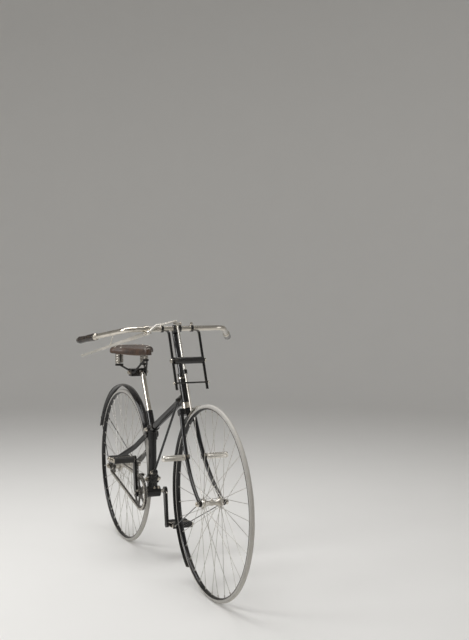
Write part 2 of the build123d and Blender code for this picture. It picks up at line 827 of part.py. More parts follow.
# Frame tubes
backbone_start = head_joint + backbone_run * head_socket_length
backbone_stop = junction - backbone_run * front_socket_length
as_node("backbone", rod(backbone_start, backbone_stop, backbone_radius))
lug_foot = junction_z - lug_below
tie_lug = side_plane(tie_foot) * Cylinder(tie_eye_radius + tie_lug_rim / 2, 2 * tie_lug_half)
tie_lug += Pos(junction_x + tie_foot_lead / 2, 0, tie_foot[1]) * Box(
    tie_foot_lead, 2 * tie_lug_half, 2 * tie_eye_radius
)
seat_tube = rod((junction_x, 0, seat_tube_foot[1]), (junction_x, 0, lug_foot), seat_tube_radius)
as_node("seat_tube", seat_tube + tie_lug)

pillar_run = Vector(-cos(radians(pillar_lean_deg)), 0, sin(radians(pillar_lean_deg)))
pillar_foot = junction + pillar_run * pillar_socket_floor
pin_z = saddle_z - saddle_pin_drop
pillar_rise = (pin_z - junction_z) / pillar_run.Z
pillar_top = junction + pillar_run * pillar_rise
pillar_points = [tuple(pillar_foot), tuple(pillar_top), (saddle_x - pillar_tail, 0, pin_z)]
pillar = swept(pillar_points, pillar_bend, Circle(pillar_radius))
as_node("seat_pillar", pillar)


arm_root = Vector(junction_x - arm_root_back, arm_root_spread, junction_z - arm_root_drop)
arm_knee = Vector(arm_root.X - arm_knee_back, arm_knee_spread, arm_root.Z - arm_knee_drop)


def build_arm(end_y, outer):
    """Oval fork arm on the left side, spread past the tyre to its flat axle plate."""
    end = Vector(REAR_HUB[0] + arm_end_lead, end_y, REAR_HUB[1] + arm_end_rise)
    arm_path = [tuple(arm_root), tuple(arm_knee), tuple(end)]
    arm = swept(arm_path, arm_bend_radius, Ellipse(fork_arm_width / 2, fork_arm_height / 2))
    plate_top = Pos(end.X - arm_plate_lap, end.Z - arm_plate_lap / 2) * Circle(fork_arm_height / 2)
    plate = make_hull([*(Pos(*REAR_HUB) * Circle(arm_plate_radius)).edges(), *plate_top.edges()])
    plate = side_plane((0, 0), outer) * extrude(plate, amount=fork_end_thickness)
    return arm + plate - ring(REAR_HUB, 0, 2 * outer, rear_axle_radius)


arm_left = build_arm(arm_end_left, plate_outer[LEFT])
arm_right = mirrored(build_arm(arm_end_right, plate_outer[RIGHT]))
as_node("rear_fork_arms", arm_right, arm_left)

lug_top = junction_z + lug_above
cross_lug = rod((junction_x, 0, lug_foot), (junction_x, 0, lug_top), seat_tube_radius + lug_wall)
cross_lug += rod(junction, backbone_stop, backbone_radius + lug_wall)
cross_lug += rod(junction, junction + pillar_run * pillar_socket_length, pillar_radius + lug_wall)
arm_boss_half = arm_root.Y + arm_boss_rim
cross_lug += ring((arm_root.X, arm_root.Z), -arm_boss_half, arm_boss_half, arm_boss_radius)
lug_bolt_span = (-seat_tube_radius - lug_bolt_head, seat_tube_radius + lug_bolt_tail)
cross_lug += ring((junction_x, junction_z), *lug_bolt_span, lug_bolt_radius)
# the bracket of the rear mudguard runs from the guard's outside into the pillar's socket
guard_angle = radians(guard_bracket_deg)
guard_point = (
    REAR_HUB[0] + rear_guard_radius * cos(guard_angle),
    0,
    REAR_HUB[1] + rear_guard_radius * sin(guard_angle),
)
guard_bracket = rod(guard_point, junction + pillar_run * guard_bracket_station, guard_bracket_radius)
guard_seat = rear_guard_radius + guard_thickness + guard_seat_gap
cross_lug += guard_bracket - ring(REAR_HUB, -guard_half_width, guard_half_width, guard_seat)
cross_lug = cross_lug - pillar - arm_right - arm_left
as_node("cross_lug", cross_lug)

eye_top_y = tie_top_y - tie_eye_thickness
eye_foot_y = -tie_lug_half - tie_eye_thickness
tie_rod = ring(tie_top, eye_top_y, tie_top_y, tie_eye_radius)
tie_rod += ring(tie_foot, eye_foot_y, -tie_lug_half, tie_eye_radius)
tie_rod += rod(
    (tie_top[0], (eye_top_y + tie_top_y) / 2, tie_top[1]),
    (tie_foot[0], eye_foot_y + tie_eye_thickness / 2, tie_foot[1]),
    tie_rod_radius,
)
tie_rod += Pos(tie_top[0], eye_top_y - tie_lug_rim, tie_top[1]) * Sphere(tie_nut_radius)
tie_rod += ring(tie_foot, eye_foot_y - tie_bolt_head, eye_foot_y, tie_bolt_radius)
tie_rod = tie_rod - head_tube - parts["backbone"][0] - tie_lug - seat_tube
as_node("tie_rod", tie_rod)

shell = ring(BOTTOM_BRACKET, -bracket_length / 2, bracket_length / 2, bracket_radius)
neck = ((junction_x, 0, bottom_bracket_z), (junction_x, 0, seat_tube_foot[1]))
shell += rod(*neck, seat_tube_radius + lug_wall)
pinch_lug = (junction_x, bottom_bracket_z + pinch_lug_rise)
shell += ring(pinch_lug, -pinch_lug_half, pinch_lug_half, pinch_lug_radius)
shell -= ring(BOTTOM_BRACKET, -bracket_length, bracket_length, spindle_radius + running_gap)
as_node("bottom_bracket", shell)


# Drive: toothed wheels, chain and cranks
def pitch_radius(teeth):
    """Radius of the chain's pitch circle."""
    return chain_pitch / (2 * sin(pi / teeth))


def toothed_disc(teeth, thickness):
    """Disc with trapezoid teeth, lying in the local xy plane."""
    root = pitch_radius(teeth) - tooth_depth
    tip_radius = pitch_radius(teeth) + tooth_rise
    step = 360 / teeth
    points = []
    for tooth in range(teeth):
        for share, radius in ((-0.30, root), (-0.14, tip_radius), (0.14, tip_radius), (0.30, root)):
            angle = radians(step * (tooth + share))
            points.append((radius * cos(angle), radius * sin(angle)))
    return extrude(make_face(Polyline(*points, close=True)), amount=thickness / 2, both=True)


sprocket = toothed_disc(sprocket_teeth, sprocket_thickness)
sprocket -= Cylinder(rear_barrel_radius + hub_step, 2 * sprocket_thickness)
sprocket_place = side_plane(REAR_HUB, -chain_line)
as_node("rear_sprocket", sprocket_place * sprocket)

chainring = toothed_disc(chainring_teeth, sprocket_thickness)
ring_inner = pitch_radius(chainring_teeth) - chainring_rim
arm_step = 360 / chainring_arms
window_corners = [
    (chainring_eye, -arm_step / 3),
    (chainring_eye, arm_step / 3),
    (ring_inner, arm_step * 0.42),
    (ring_inner, arm_step / 7),
    (ring_inner, -arm_step / 7),
    (ring_inner, -arm_step * 0.42),
]
window = make_face(
    Polyline(*[(r * cos(radians(a)), r * sin(radians(a))) for r, a in window_corners], close=True)
)
window_solid = extrude(window, amount=sprocket_thickness, both=True)
for turn in range(chainring_arms):
    chainring -= Rot(0, 0, arm_step * turn) * window_solid
crank_inner_right = chain_line + chain_half_width + crank_chain_gap
chainring += Cylinder(chainring_boss_radius, crank_inner_right - chain_line, align=UP_ALIGN)
chainring -= Cylinder(spindle_radius, 2 * crank_inner_right)
chainring_place = side_plane(BOTTOM_BRACKET, -chain_line)
as_node("chainring", chainring_place * chainring)


def chain_region(offset):
    """Area inside the chain's line moved outwards by an offset."""
    circles = [
        *(Pos(*BOTTOM_BRACKET) * Circle(pitch_radius(chainring_teeth) + offset)).edges(),
        *(Pos(*REAR_HUB) * Circle(pitch_radius(sprocket_teeth) + offset)).edges(),
    ]
    return make_hull(circles)


# waisted links run along the chain's line: full height over each block, slim along each side plate
chain_run = chain_region(0).face().outer_wire()
links = round(chain_run.length / chain_pitch)
half_block = chain_block_length / (2 * chain_pitch)


def chain_point(link, height):
    """Point at a number of links along the chain and at a height off its line."""
    share = link / links % 1
    centre = chain_run.position_at(share)
    along = chain_run.tangent_at(share)
    return (centre.X + height * along.Y, centre.Y - height * along.X)


outlines = []
blocks = []
for sign in (1, -1):
    corners = []
    for link in range(links):
        corners.append(chain_point(link, sign * chain_half_height))
        corners.append(chain_point(link + 0.5, sign * chain_waist))
    outlines.append(make_face(Polyline(*corners, close=True)))
for link in range(links):
    corners = [
        chain_point(link + shift, sign * chain_block_half_height)
        for shift, sign in ((-half_block, 1), (half_block, 1), (half_block, -1), (-half_block, -1))
    ]
    blocks.append(make_face(Polyline(*corners, close=True)))
inner_outline, outer_outline = sorted(outlines, key=lambda face: face.area)
chain_side = outer_outline - inner_outline
chain_core = Sketch() + blocks
for centre, teeth in ((BOTTOM_BRACKET, chainring_teeth), (REAR_HUB, sprocket_teeth)):
    chain_core -= Pos(*centre) * Circle(pitch_radius(teeth) + tooth_rise + chain_tooth_room)
core_half = chain_half_width - chain_plate
chain = side_plane((0, 0), core_half - chain_line) * extrude(chain_core, amount=2 * core_half)
for low in (-chain_line + chain_half_width, -chain_line - core_half):
    chain += side_plane((0, 0), low) * extrude(chain_side, amount=chain_plate)
as_node("chain", chain)

spindle_right = crank_inner_right + crank_thickness + crank_end_reach
spindle_left = crank_inner_left + crank_thickness + crank_end_reach
spindle = ring(BOTTOM_BRACKET, -spindle_right, spindle_left, spindle_radius)
as_node("crank_spindle", spindle)


def build_crank(side, inner, angle_deg):
    """Crank arm with its boss on the spindle and the pedal pin in its eye."""
    angle = radians(angle_deg)
    eye = (
        BOTTOM_BRACKET[0] + crank_length * cos(angle),
        BOTTOM_BRACKET[1] + crank_length * sin(angle),
    )
    outer = inner + crank_thickness
    arm = make_hull(
        [
            *(Pos(*BOTTOM_BRACKET) * Circle(crank_boss_radius - crank_taper)).edges(),
            *(Pos(*eye) * Circle(crank_eye_radius - crank_eye_taper)).edges(),
        ]
    )
    top = max(side * inner, side * outer)
    solid = side_plane((0, 0), top) * extrude(arm, amount=crank_thickness)
    solid += ring(BOTTOM_BRACKET, *sorted((side * inner, side * outer)), crank_boss_radius)
    solid += ring(eye, *sorted((side * inner, side * outer)), crank_eye_radius)
    pin_end = outer + pedal_gap + pedal_width + pedal_pin_reach
    solid += ring(eye, *sorted((side * inner, side * pin_end)), pedal_pin_radius)
    solid -= ring(BOTTOM_BRACKET, *sorted((0, 2 * side * outer)), spindle_radius)
    return solid, eye, side * (outer + pedal_gap)


def build_pedal(eye, inner_y, side):
    """Pedal frame, a sleeve with two end plates, and its two rubber blocks."""
    outer_y = inner_y + side * pedal_width
    bore = pedal_pin_radius + running_gap
    frame = ring(eye, *sorted((inner_y, outer_y)), pedal_pin_radius + pedal_sleeve_wall, bore)
    for edge in (inner_y, outer_y - side * pedal_plate):
        plate = Pos(eye[0], edge + side * pedal_plate / 2, eye[1]) * Box(
            2 * (pedal_block_spread + pedal_plate_reach), pedal_plate, pedal_block_height - 2 * pedal_plate
        )
        frame += plate - ring(eye, *sorted((0, 2 * outer_y)), bore)
    blocks = []
    block_length = pedal_width - 2 * pedal_plate
    middle = (inner_y + outer_y) / 2
    for shift in (-pedal_block_spread, pedal_block_spread):
        block = Box(pedal_block_depth, block_length, pedal_block_height)
        block = fillet(block.edges().filter_by(Axis.Y), pedal_block_round)
        blocks.append(Pos(eye[0] + shift, middle, eye[1]) * block)
    return frame, blocks


for name, side, inner, angle_deg in (
    ("right", RIGHT, crank_inner_right, crank_angle_deg),
    ("left", LEFT, crank_inner_left, crank_angle_deg + 180),
):
    crank, eye, pedal_inner = build_crank(side, inner, angle_deg)
    as_node(f"crank_{name}", crank)
    frame, blocks = build_pedal(eye, pedal_inner, side)
    as_node(f"pedal_{name}_frame", frame)
    as_node(f"pedal_{name}_rubbers", *blocks)

# Rear axle, nuts and mounting step
right_seat = plate_outer[RIGHT] + stay_eye_thickness
step_seat = plate_outer[LEFT] + stay_eye_thickness
left_seat = step_seat + step_thickness
rear_axle = ring(REAR_HUB, -(right_seat + nut_height + 3), left_seat + nut_height + 3, rear_axle_radius)
for side, seat in ((RIGHT, right_seat), (LEFT, left_seat)):
    span = sorted((side * seat, side * (seat + nut_height)))
    rear_axle += hexagon(REAR_HUB, *span, nut_across + 3, rear_axle_radius - 1)
as_node("rear_axle", rear_axle)
step = ring(REAR_HUB, step_seat, left_seat, step_eye_radius)
step += Pos(REAR_HUB[0], (step_seat + left_seat) / 2, REAR_HUB[1] - step_drop / 2) * Box(
    step_arm_width, step_thickness, step_drop
)
step_peg = (REAR_HUB[0], REAR_HUB[1] - step_drop)
step += ring(step_peg, step_seat, step_seat + step_peg_length, step_peg_radius)
step -= ring(REAR_HUB, 0, 2 * left_seat, rear_axle_radius)
as_node("mounting_step", step)


# Saddle: leather on coil springs over a railed underframe
def saddle_outline(grow):
    """Plan of the leather from above, nose forward, grown or shrunk all round."""
    wide = saddle_half_width
    half = [
        ThreePointArc((saddle_nose, 0), (saddle_nose - 5.6, 13.4), (saddle_nose - 19, 19)),
        Line((saddle_nose - 19, 19), (60, 26)),
        ThreePointArc((60, 26), (-10, 52), (-75, wide)),
        ThreePointArc((-75, wide), (-118, wide - 12), (-saddle_rear + 4, wide - 48)),
        ThreePointArc((-saddle_rear + 4, wide - 48), (-saddle_rear + 1, 30), (-saddle_rear, 0)),
    ]
    both_sides = half + [mirror(edge, about=Plane.XZ) for edge in half]
    face = make_face([edge for line in both_sides for edge in line.edges()])
    return offset(face, grow) if grow else face


def saddle_slab(low_drop, high_drop):
    """Slab over the saddle's plan whose top follows the sagging line of the leather."""
    long, short = saddle_rear + 20, saddle_nose + 20
    rear_top, nose_top = saddle_rise + 2 - high_drop, saddle_rise - 5 - high_drop
    side_view = section_face(
        ThreePointArc((-long, rear_top), (10, -high_drop), (short, nose_top)),
        Polyline((short, nose_top), (short, -low_drop), (-long, -low_drop), (-long, rear_top)),
    )
    return extrude(side_view, amount=saddle_half_width + 20, both=True)


seat_place = Pos(saddle_x, 0, saddle_z)
outline = Pos(0, 0, -100) * extrude(saddle_outline(0), amount=200)
inside = Pos(0, 0, -100) * extrude(saddle_outline(-saddle_leather), amount=200)
leather = (outline & saddle_slab(saddle_skirt, 0)) - (inside & saddle_slab(saddle_skirt + 5, saddle_leather))
as_node("saddle_leather", seat_place * leather)


def coil_height(wire, turns):
    """Height of a close-wound spring, its turns 0.9 of the wire's thickness apart."""
    return 2 * wire + 1.8 * wire * (turns - 1)


def coil(radius, wire, turns):
    """Close-wound spring standing on the local origin."""
    section = RegularPolygon(wire, 6, rotation=30)
    rings = Sketch() + [Pos(radius, wire + 1.8 * wire * turn) * section for turn in range(turns)]
    return revolve(Plane.XZ * rings, Axis.Z)


coil_total = coil_height(coil_wire, rear_coil_turns)
nose_total = coil_height(nose_coil_wire, nose_coil_turns)
rear_coil_foot = -plate_drop - coil_total
nose_coil_foot = -plate_drop - nose_total
springs = [
    Pos(-rear_coil_x, -rear_coil_spread, rear_coil_foot) * coil(coil_radius, coil_wire, rear_coil_turns),
    Pos(-rear_coil_x, rear_coil_spread, rear_coil_foot) * coil(coil_radius, coil_wire, rear_coil_turns),
    Pos(nose_coil_x, 0, nose_coil_foot) * coil(nose_coil_radius, nose_coil_wire, nose_coil_turns),
]
as_node("saddle_springs", *[seat_place * spring for spring in springs])

rail_level = rear_coil_foot - rail_radius
clip = Pos(0, 0, -saddle_pin_drop) * Box(clip_length, 2 * clip_half_width, 2 * (pillar_radius + clip_wall))
rails = None
for side in (RIGHT, LEFT):
    points = [
        (nose_coil_x, side * rail_nose_spread, nose_coil_foot - rail_radius),
        (rail_clip_x, side * rail_clip_spread, -saddle_pin_drop),
        (-rear_coil_x, side * rear_coil_spread, rail_level),
    ]
    rail = rod(points[0], points[1], rail_radius) + Pos(*points[1]) * Sphere(rail_radius)
    rail += rod(points[1], points[2], rail_radius)
    foot = Pos(-rear_coil_x, side * rear_coil_spread, rear_coil_foot - 2 * rail_radius) * Cylinder(
        coil_radius + coil_wire, 2 * rail_radius, align=UP_ALIGN
    )
    rails = rail + foot if rails is None else rails + rail + foot
rails += Pos(nose_coil_x, 0, nose_coil_foot - 2 * rail_radius) * Cylinder(
    nose_coil_radius + nose_coil_wire + 2, 2 * rail_radius, align=UP_ALIGN
)
rails += clip
rails -= Pos(-saddle_x, 0, -saddle_z) * pillar
# both plates lie against the underside of the leather
under_leather = saddle_slab(plate_drop, saddle_leather + plate_seat_gap)
coil_reach = coil_radius + coil_wire
plate_room = 2 * saddle_skirt
cantle = under_leather & Pos(-rear_coil_x, 0, 0) * Box(
    2 * coil_reach, 2 * (rear_coil_spread + coil_reach), plate_room
)
nose_plate = under_leather & Pos(nose_coil_x, 0, 0) * Box(
    nose_plate_length, 2 * (nose_coil_radius + nose_coil_wire), plate_room
)
as_node("saddle_frame", *[seat_place * piece for piece in (rails, cantle, nose_plate)])

# Written solids, moved so that the seat point is the origin
os.makedirs("parts", exist_ok=True)
to_origin = Pos(-saddle_x, 0, -saddle_z)
for name, solids in parts.items():
    export_step(Compound(children=[to_origin * solid for solid in solids]), f"parts/{name}.step")
print(len(parts), "nodes")
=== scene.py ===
import json
from math import asin, atan2, cos, pi, radians, sin

import bpy
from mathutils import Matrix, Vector


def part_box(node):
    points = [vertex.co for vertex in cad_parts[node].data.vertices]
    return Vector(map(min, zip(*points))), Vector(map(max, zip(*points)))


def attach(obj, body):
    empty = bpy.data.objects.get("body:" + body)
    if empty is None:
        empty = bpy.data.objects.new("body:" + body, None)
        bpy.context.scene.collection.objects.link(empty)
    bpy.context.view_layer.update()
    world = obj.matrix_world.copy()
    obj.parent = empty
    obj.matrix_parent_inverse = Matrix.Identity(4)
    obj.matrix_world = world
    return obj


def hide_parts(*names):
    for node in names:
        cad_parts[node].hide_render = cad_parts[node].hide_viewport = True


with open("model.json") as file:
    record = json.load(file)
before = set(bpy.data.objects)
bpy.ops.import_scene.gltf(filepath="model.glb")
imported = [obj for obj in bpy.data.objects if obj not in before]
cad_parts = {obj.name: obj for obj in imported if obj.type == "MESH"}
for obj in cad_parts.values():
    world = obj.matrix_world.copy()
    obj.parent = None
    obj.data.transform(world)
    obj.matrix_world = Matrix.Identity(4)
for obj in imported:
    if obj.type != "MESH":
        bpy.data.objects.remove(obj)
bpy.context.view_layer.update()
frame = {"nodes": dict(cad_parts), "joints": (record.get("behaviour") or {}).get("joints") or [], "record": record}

scene = bpy.context.scene
scene.view_settings.view_transform = "Standard"


# Studio: a pale dish of smooth plaster that rises to a wall all round, so that no horizon shows. Square
# soft lamps hang overhead and on the drive side, and a weak one stands ahead on the other side.
class Port:
    """A socket in a node tree. Arithmetic on it adds Math nodes; node() adds any other node."""

    def __init__(self, tree, socket=None):
        self.tree = tree
        self.socket = socket

    def node(self, kind, values=None, out=0, **settings):
        """Adds a node with its settings, then its sockets' values or links; gives one of its outputs."""
        made = self.tree.nodes.new(kind)
        for name, setting in settings.items():
            setattr(made, name, setting)
        for name, value in (values or {}).items():
            for each in value if isinstance(value, list) else [value]:
                if isinstance(each, Port):
                    self.tree.links.new(each.socket, made.inputs[name])
                else:
                    made.inputs[name].default_value = each
        return Port(self.tree, made.outputs[out] if made.outputs else None)

    def math(self, operation, first, second=0.0):
        return self.node("ShaderNodeMath", {0: first, 1: second}, operation=operation)

    def __add__(self, other):
        return self.math("ADD", self, other)

    def __sub__(self, other):
        return self.math("SUBTRACT", self, other)

    def __rsub__(self, other):
        return self.math("SUBTRACT", other, self)

    def __mul__(self, other):
        return self.math("MULTIPLY", self, other)

    def __mod__(self, other):
        return self.math("MODULO", self, other)

    def __lt__(self, other):
        return self.math("LESS_THAN", self, other)

    def __gt__(self, other):
        return self.math("GREATER_THAN", self, other)

    def __abs__(self):
        return self.math("ABSOLUTE", self)

    __radd__ = __add__
    __rmul__ = __mul__

    def clamped(self):
        return self.node("ShaderNodeClamp", {0: self})

    def rise(self, low, high):
        """0 below low, 1 above high and smooth between them."""
        limits = {"From Min": low, "From Max": high}
        return self.node("ShaderNodeMapRange", {0: self, **limits}, interpolation_type="SMOOTHSTEP")

    def blend(self, first, second):
        """Mixes two colours by this value."""
        return self.node("ShaderNodeMix", {0: self, 6: first, 7: second}, out=2, data_type="RGBA")

    def noise(self, scale, detail=4.0, rough=0.6):
        """Even noise at this place; scale is in lumps to the metre."""
        sizes = {"Scale": scale, "Detail": detail, "Roughness": rough}
        return self.node("ShaderNodeTexNoise", {"Vector": self, **sizes})

    def dents(self, strength, distance):
        """The dents of a surface with this height, for a shader's Normal; distance is in metres."""
        return self.node("ShaderNodeBump", {"Strength": strength, "Distance": distance, "Height": self})


def new_finish(name):
    """A material with an empty tree, a Port for its nodes and the place on the piece."""
    material = bpy.data.materials.new(name)
    material.use_nodes = True
    material.node_tree.nodes.clear()
    start = Port(material.node_tree)
    return material, start, start.node("ShaderNodeTexCoord", out="Object")


def end_finish(start, values, shader="ShaderNodeBsdfPrincipled"):
    """Closes a material's tree with a shader of these values or links."""
    start.node("ShaderNodeOutputMaterial", {"Surface": start.node(shader, values)})


def dress(piece, material):
    """Gives a piece one material on all its faces."""
    piece.data.materials.clear()
    piece.data.materials.append(material)
    piece.data.polygons.foreach_set("material_index", [0] * len(piece.data.polygons))


sharp_corner = radians(38)


def add_mesh(name, points, faces):
    """A mesh object from points and faces, smooth but for its sharp edges."""
    mesh = bpy.data.meshes.new(name)
    mesh.from_pydata([tuple(point) for point in points], [], faces)
    mesh.validate()
    mesh.polygons.foreach_set("use_smooth", [True] * len(mesh.polygons))
    mesh.set_sharp_from_angle(angle=sharp_corner)
    piece = bpy.data.objects.new(name, mesh)
    scene.collection.objects.link(piece)
    return piece


def ring_faces(rings, steps, flipped=False):
    """Four-sided faces between closed rings of points, with as many steps in each ring."""
    faces = []
    for near in range(0, (rings - 1) * steps, steps):
        far = near + steps
        for step in range(steps):
            after = (step + 1) % steps
            face = (near + step, near + after, far + after, far + step)
            faces.append((face[0], *face[:0:-1]) if flipped else face)
    return faces


floor_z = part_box("rear_tyre")[0].z
plaster, start, place = new_finish("studio_plaster")
trowel = place.noise(3.0, 3.0)
shade = trowel.blend((0.79, 0.78, 0.76, 1), (0.81, 0.80, 0.78, 1))
end_finish(start, {"Color": shade}, "ShaderNodeBsdfDiffuse")
dish_middle_x = 0.3
dish_radius = 5.8
dish_corner = 2.6
dish_wall = 4.0
dish_turns = 96
profile = [(dish_radius * share / 6, 0.0) for share in range(7)]
for angle in range(10, 91, 10):
    turn = radians(angle)
    profile.append((dish_radius + dish_corner * sin(turn), dish_corner * (1 - cos(turn))))
profile.append((dish_radius + dish_corner, dish_corner + dish_wall))
points = []
for reach, height in profile:
    for step in range(dish_turns):
        angle = 2 * pi * step / dish_turns
        points.append((dish_middle_x + reach * cos(angle), reach * sin(angle), floor_z + height))
dish = add_mesh("studio_dish", points, ring_faces(len(profile), dish_turns))
dress(dish, plaster)

air = bpy.data.worlds.new("studio_air")
scene.world = air
air.use_nodes = True
air.node_tree.nodes.clear()
start = Port(air.node_tree)
glow = start.node("ShaderNodeBackground", {"Color": (1.0, 0.99, 0.97, 1), "Strength": 0.24})
start.node("ShaderNodeOutputWorld", {"Surface": glow})
lit_middle = Vector((0.35, 0.0, floor_z + 0.5))
for name, hung_at, size, power in (
    ("overhead_lamp", (0.1, -0.6, 3.4), 3.2, 120),
    ("side_lamp", (0.3, -4.4, 1.75), 1.7, 88),
    ("fill_lamp", (3.6, 3.6, 1.3), 2.2, 26),
):
    lamp = bpy.data.lights.new(name, "AREA")
    lamp.shape = "SQUARE"
    lamp.size = size
    lamp.energy = power
    holder = bpy.data.objects.new(name, lamp)
    holder.location = hung_at
    holder.rotation_euler = (lit_middle - Vector(hung_at)).to_track_quat("-Z", "Y").to_euler()
    holder.visible_camera = False
    scene.collection.objects.link(holder)

# Camera: 1.27 m above the floor and 4.8 m ahead of the saddle, 1.6 m out on the drive side, a little above
# the handlebar and looking slightly down.
eye_height = 1.2676
eye_forward = 4.770
eye_side = -1.627
look_forward = -0.9143
look_side = 0.4051
look_down = radians(2.40)
optics = bpy.data.cameras.new("camera")
optics.lens = 61.6
optics.sensor_width = 36.0
camera = bpy.data.objects.new("camera", optics)
camera.location = (eye_forward, eye_side, floor_z + eye_height)
sight = Vector((look_forward * cos(look_down), look_side * cos(look_down), -sin(look_down)))
camera.rotation_euler = sight.to_track_quat("-Z", "Y").to_euler()
scene.collection.objects.link(camera)
scene.camera = camera

# Frame and fork: drawn steel tube brazed into malleable lugs, dipped and stoved in glossy black enamel,
# worn brown along its edges, with pale dust where it faces up.
node = frame["nodes"]
pale_dust = (0.14, 0.125, 0.105, 1)
enamel, start, place = new_finish("stoved_black_enamel")
cloud = place.noise(9.0, 5.0)
orange_peel = place.noise(420.0, 2.0)
speckle = place.noise(160.0, 6.0, 0.75)
flat = start.node("ShaderNodeNewGeometry", out="Normal")
rounded = start.node("ShaderNodeBevel", {"Radius": 0.0015}, samples=4)
alike = start.node("ShaderNodeVectorMath", {0: rounded, 1: flat}, out="Value", operation="DOT_PRODUCT")
worn = ((1 - alike) * 4.0 + speckle * 0.8).rise(0.76, 1.05)
facing = start.node("ShaderNodeSeparateXYZ", {0: flat}, out="Z")
settled = facing.rise(0.35, 1.0) * cloud.rise(0.35, 0.75) * 0.3
dust = (settled + speckle.rise(0.55, 0.82) * 0.1).clamped()
black = cloud.blend((0.006, 0.006, 0.007, 1), (0.013, 0.0125, 0.012, 1))
bare = worn.blend(dust.blend(black, pale_dust), (0.15, 0.125, 0.10, 1))
gloss = (0.10 + cloud * 0.10 + dust * 0.45 + worn * 0.25).clamped()
values = {"Base Color": bare, "Roughness": gloss, "Normal": orange_peel.dents(0.06, 0.0004)}
end_finish(start, {**values, "Specular IOR Level": 0.4})
for name in (
    "backbone",
    "head_tube",
    "cross_lug",
    "seat_tube",
    "rear_fork_arms",
    "tie_rod",
    "bottom_bracket",
    "fork_crown",
    "fork_blades",
    "mounting_step",
):
    dress(node[name], enamel)

# Bright parts: steel, nickel plated, warm and a little dulled, with finger marks, and fine brown pits
# where the plate has worn thin. The pillar, bar and axles are polished; hubs, pegs and lever are satin.
def nickel_plate(name, fresh, dull, polish):
    """Nickel plate between a fresh and a dull colour; polish is the roughness of its best parts."""
    plated, start, place = new_finish(name)
    haze = place.noise(14.0, 6.0, 0.65)
    pits = place.noise(320.0, 4.0, 0.7)
    tarnish = haze.rise(0.46, 0.72)
    spots = pits.rise(0.64, 0.73)
    plate = tarnish.blend((*fresh, 1), (*dull, 1))
    spotted = (spots * 0.7).blend(plate, (0.11, 0.08, 0.055, 1))
    gloss = (polish + haze * 0.12 + tarnish * 0.16 + spots * 0.3).clamped()
    values = {"Base Color": spotted, "Metallic": 1.0, "Roughness": gloss}
    end_finish(start, {**values, "Normal": pits.dents(0.12, 0.0003)})
    return plated


nickel = nickel_plate("warm_nickel_plate", (0.68, 0.64, 0.57), (0.32, 0.285, 0.235), 0.09)
satin = nickel_plate("satin_nickel_plate", (0.78, 0.75, 0.69), (0.48, 0.44, 0.38), 0.22)
for name in ("seat_pillar", "rear_axle", "front_axle"):
    dress(node[name], nickel)
dress(node["rear_hub"], satin)

# Steering stem: enamelled like the frame, with its lower cup and the head nut nickel plated. The plate
# stops at heights above the crown, measured up the slope of the head.
joints = {joint["name"]: joint for joint in frame["joints"]}
crown_seat = Vector(joints["steering"]["pos_m"])
up_stem = Vector(joints["steering"]["axis"])
cup_top = 0.0245
nut_foot = 0.1265
nut_top = 0.1345
stem_finish, start, place = new_finish("enamelled_stem_with_plated_cup")
above = start.node("ShaderNodeVectorMath", {0: place, 1: crown_seat}, operation="SUBTRACT")
height = start.node("ShaderNodeVectorMath", {0: above, 1: up_stem}, out="Value", operation="DOT_PRODUCT")
plated = ((height < cup_top) + (height > nut_foot) * (height < nut_top)).clamped()
haze = place.noise(14.0, 6.0, 0.65)
speckle = place.noise(160.0, 6.0, 0.75)
bright = haze.blend((0.74, 0.70, 0.63, 1), (0.42, 0.375, 0.305, 1))
colour = plated.blend((0.009, 0.009, 0.010, 1), bright)
dusty = (speckle.rise(0.55, 0.8) * 0.15).blend(colour, pale_dust)
values = {"Base Color": dusty, "Metallic": plated, "Roughness": 0.12 + haze * 0.18, "Coat Weight": 0.3}
end_finish(start, values)
dress(node["steering_stem"], stem_finish)

# Tyres: endless cord of pale grey rubber sprung into the rims, nicked and scuffed in use, its tread
# paler with dust than its sides.
def start_tree(name, **sizes):
    """A Geometry Nodes tree with an input for each size. Gives a Port for its nodes and one per input."""
    tree = bpy.data.node_groups.new(name, "GeometryNodeTree")
    tree.interface.new_socket("Seed", in_out="INPUT", socket_type="NodeSocketGeometry")
    kinds = {int: "NodeSocketInt", float: "NodeSocketFloat", tuple: "NodeSocketVector"}
    for label, size in sizes.items():
        socket = tree.interface.new_socket(label, in_out="INPUT", socket_type=kinds[type(size)])
        socket.default_value = size
    tree.interface.new_socket("Shape", in_out="OUTPUT", socket_type="NodeSocketGeometry")
    group = tree.nodes.new("NodeGroupInput")
    return Port(tree), {socket.name: Port(tree, socket) for socket in group.outputs if socket.name}


def end_tree(start, shape, material):
    """Closes a tree with smooth real faces of one material."""
    smooth = start.node("GeometryNodeSetShadeSmooth", {"Geometry": shape})
    real = start.node("GeometryNodeRealizeInstances", {"Geometry": smooth})
    dressed = start.node("GeometryNodeSetMaterial", {"Geometry": real, "Material": material})
    start.node("NodeGroupOutput", {0: dressed})


def grow(name, start, body, slot, seed=None, **sizes):
    """The plain mesh that a tree makes from a seed with these sizes, riding on a body."""
    stock = bpy.data.objects.new(f"{name}_seed", seed or bpy.data.meshes.new(name))
    scene.collection.objects.link(stock)
    modifier = stock.modifiers.new(name, "NODES")
    modifier.node_group = start.tree
    for socket in start.tree.interface.items_tree:
        if socket.in_out == "INPUT" and socket.name in sizes:
            modifier[socket.identifier] = sizes[socket.name]
    graph = bpy.context.evaluated_depsgraph_get()
    grown = bpy.data.meshes.new_from_object(stock.evaluated_get(graph))
    grown.set_sharp_from_angle(angle=sharp_corner)
    stock.modifiers.remove(modifier)
    bpy.data.objects.remove(stock)
    piece = bpy.data.objects.new(name, grown)
    scene.collection.objects.link(piece)
    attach(piece, body)
    return piece


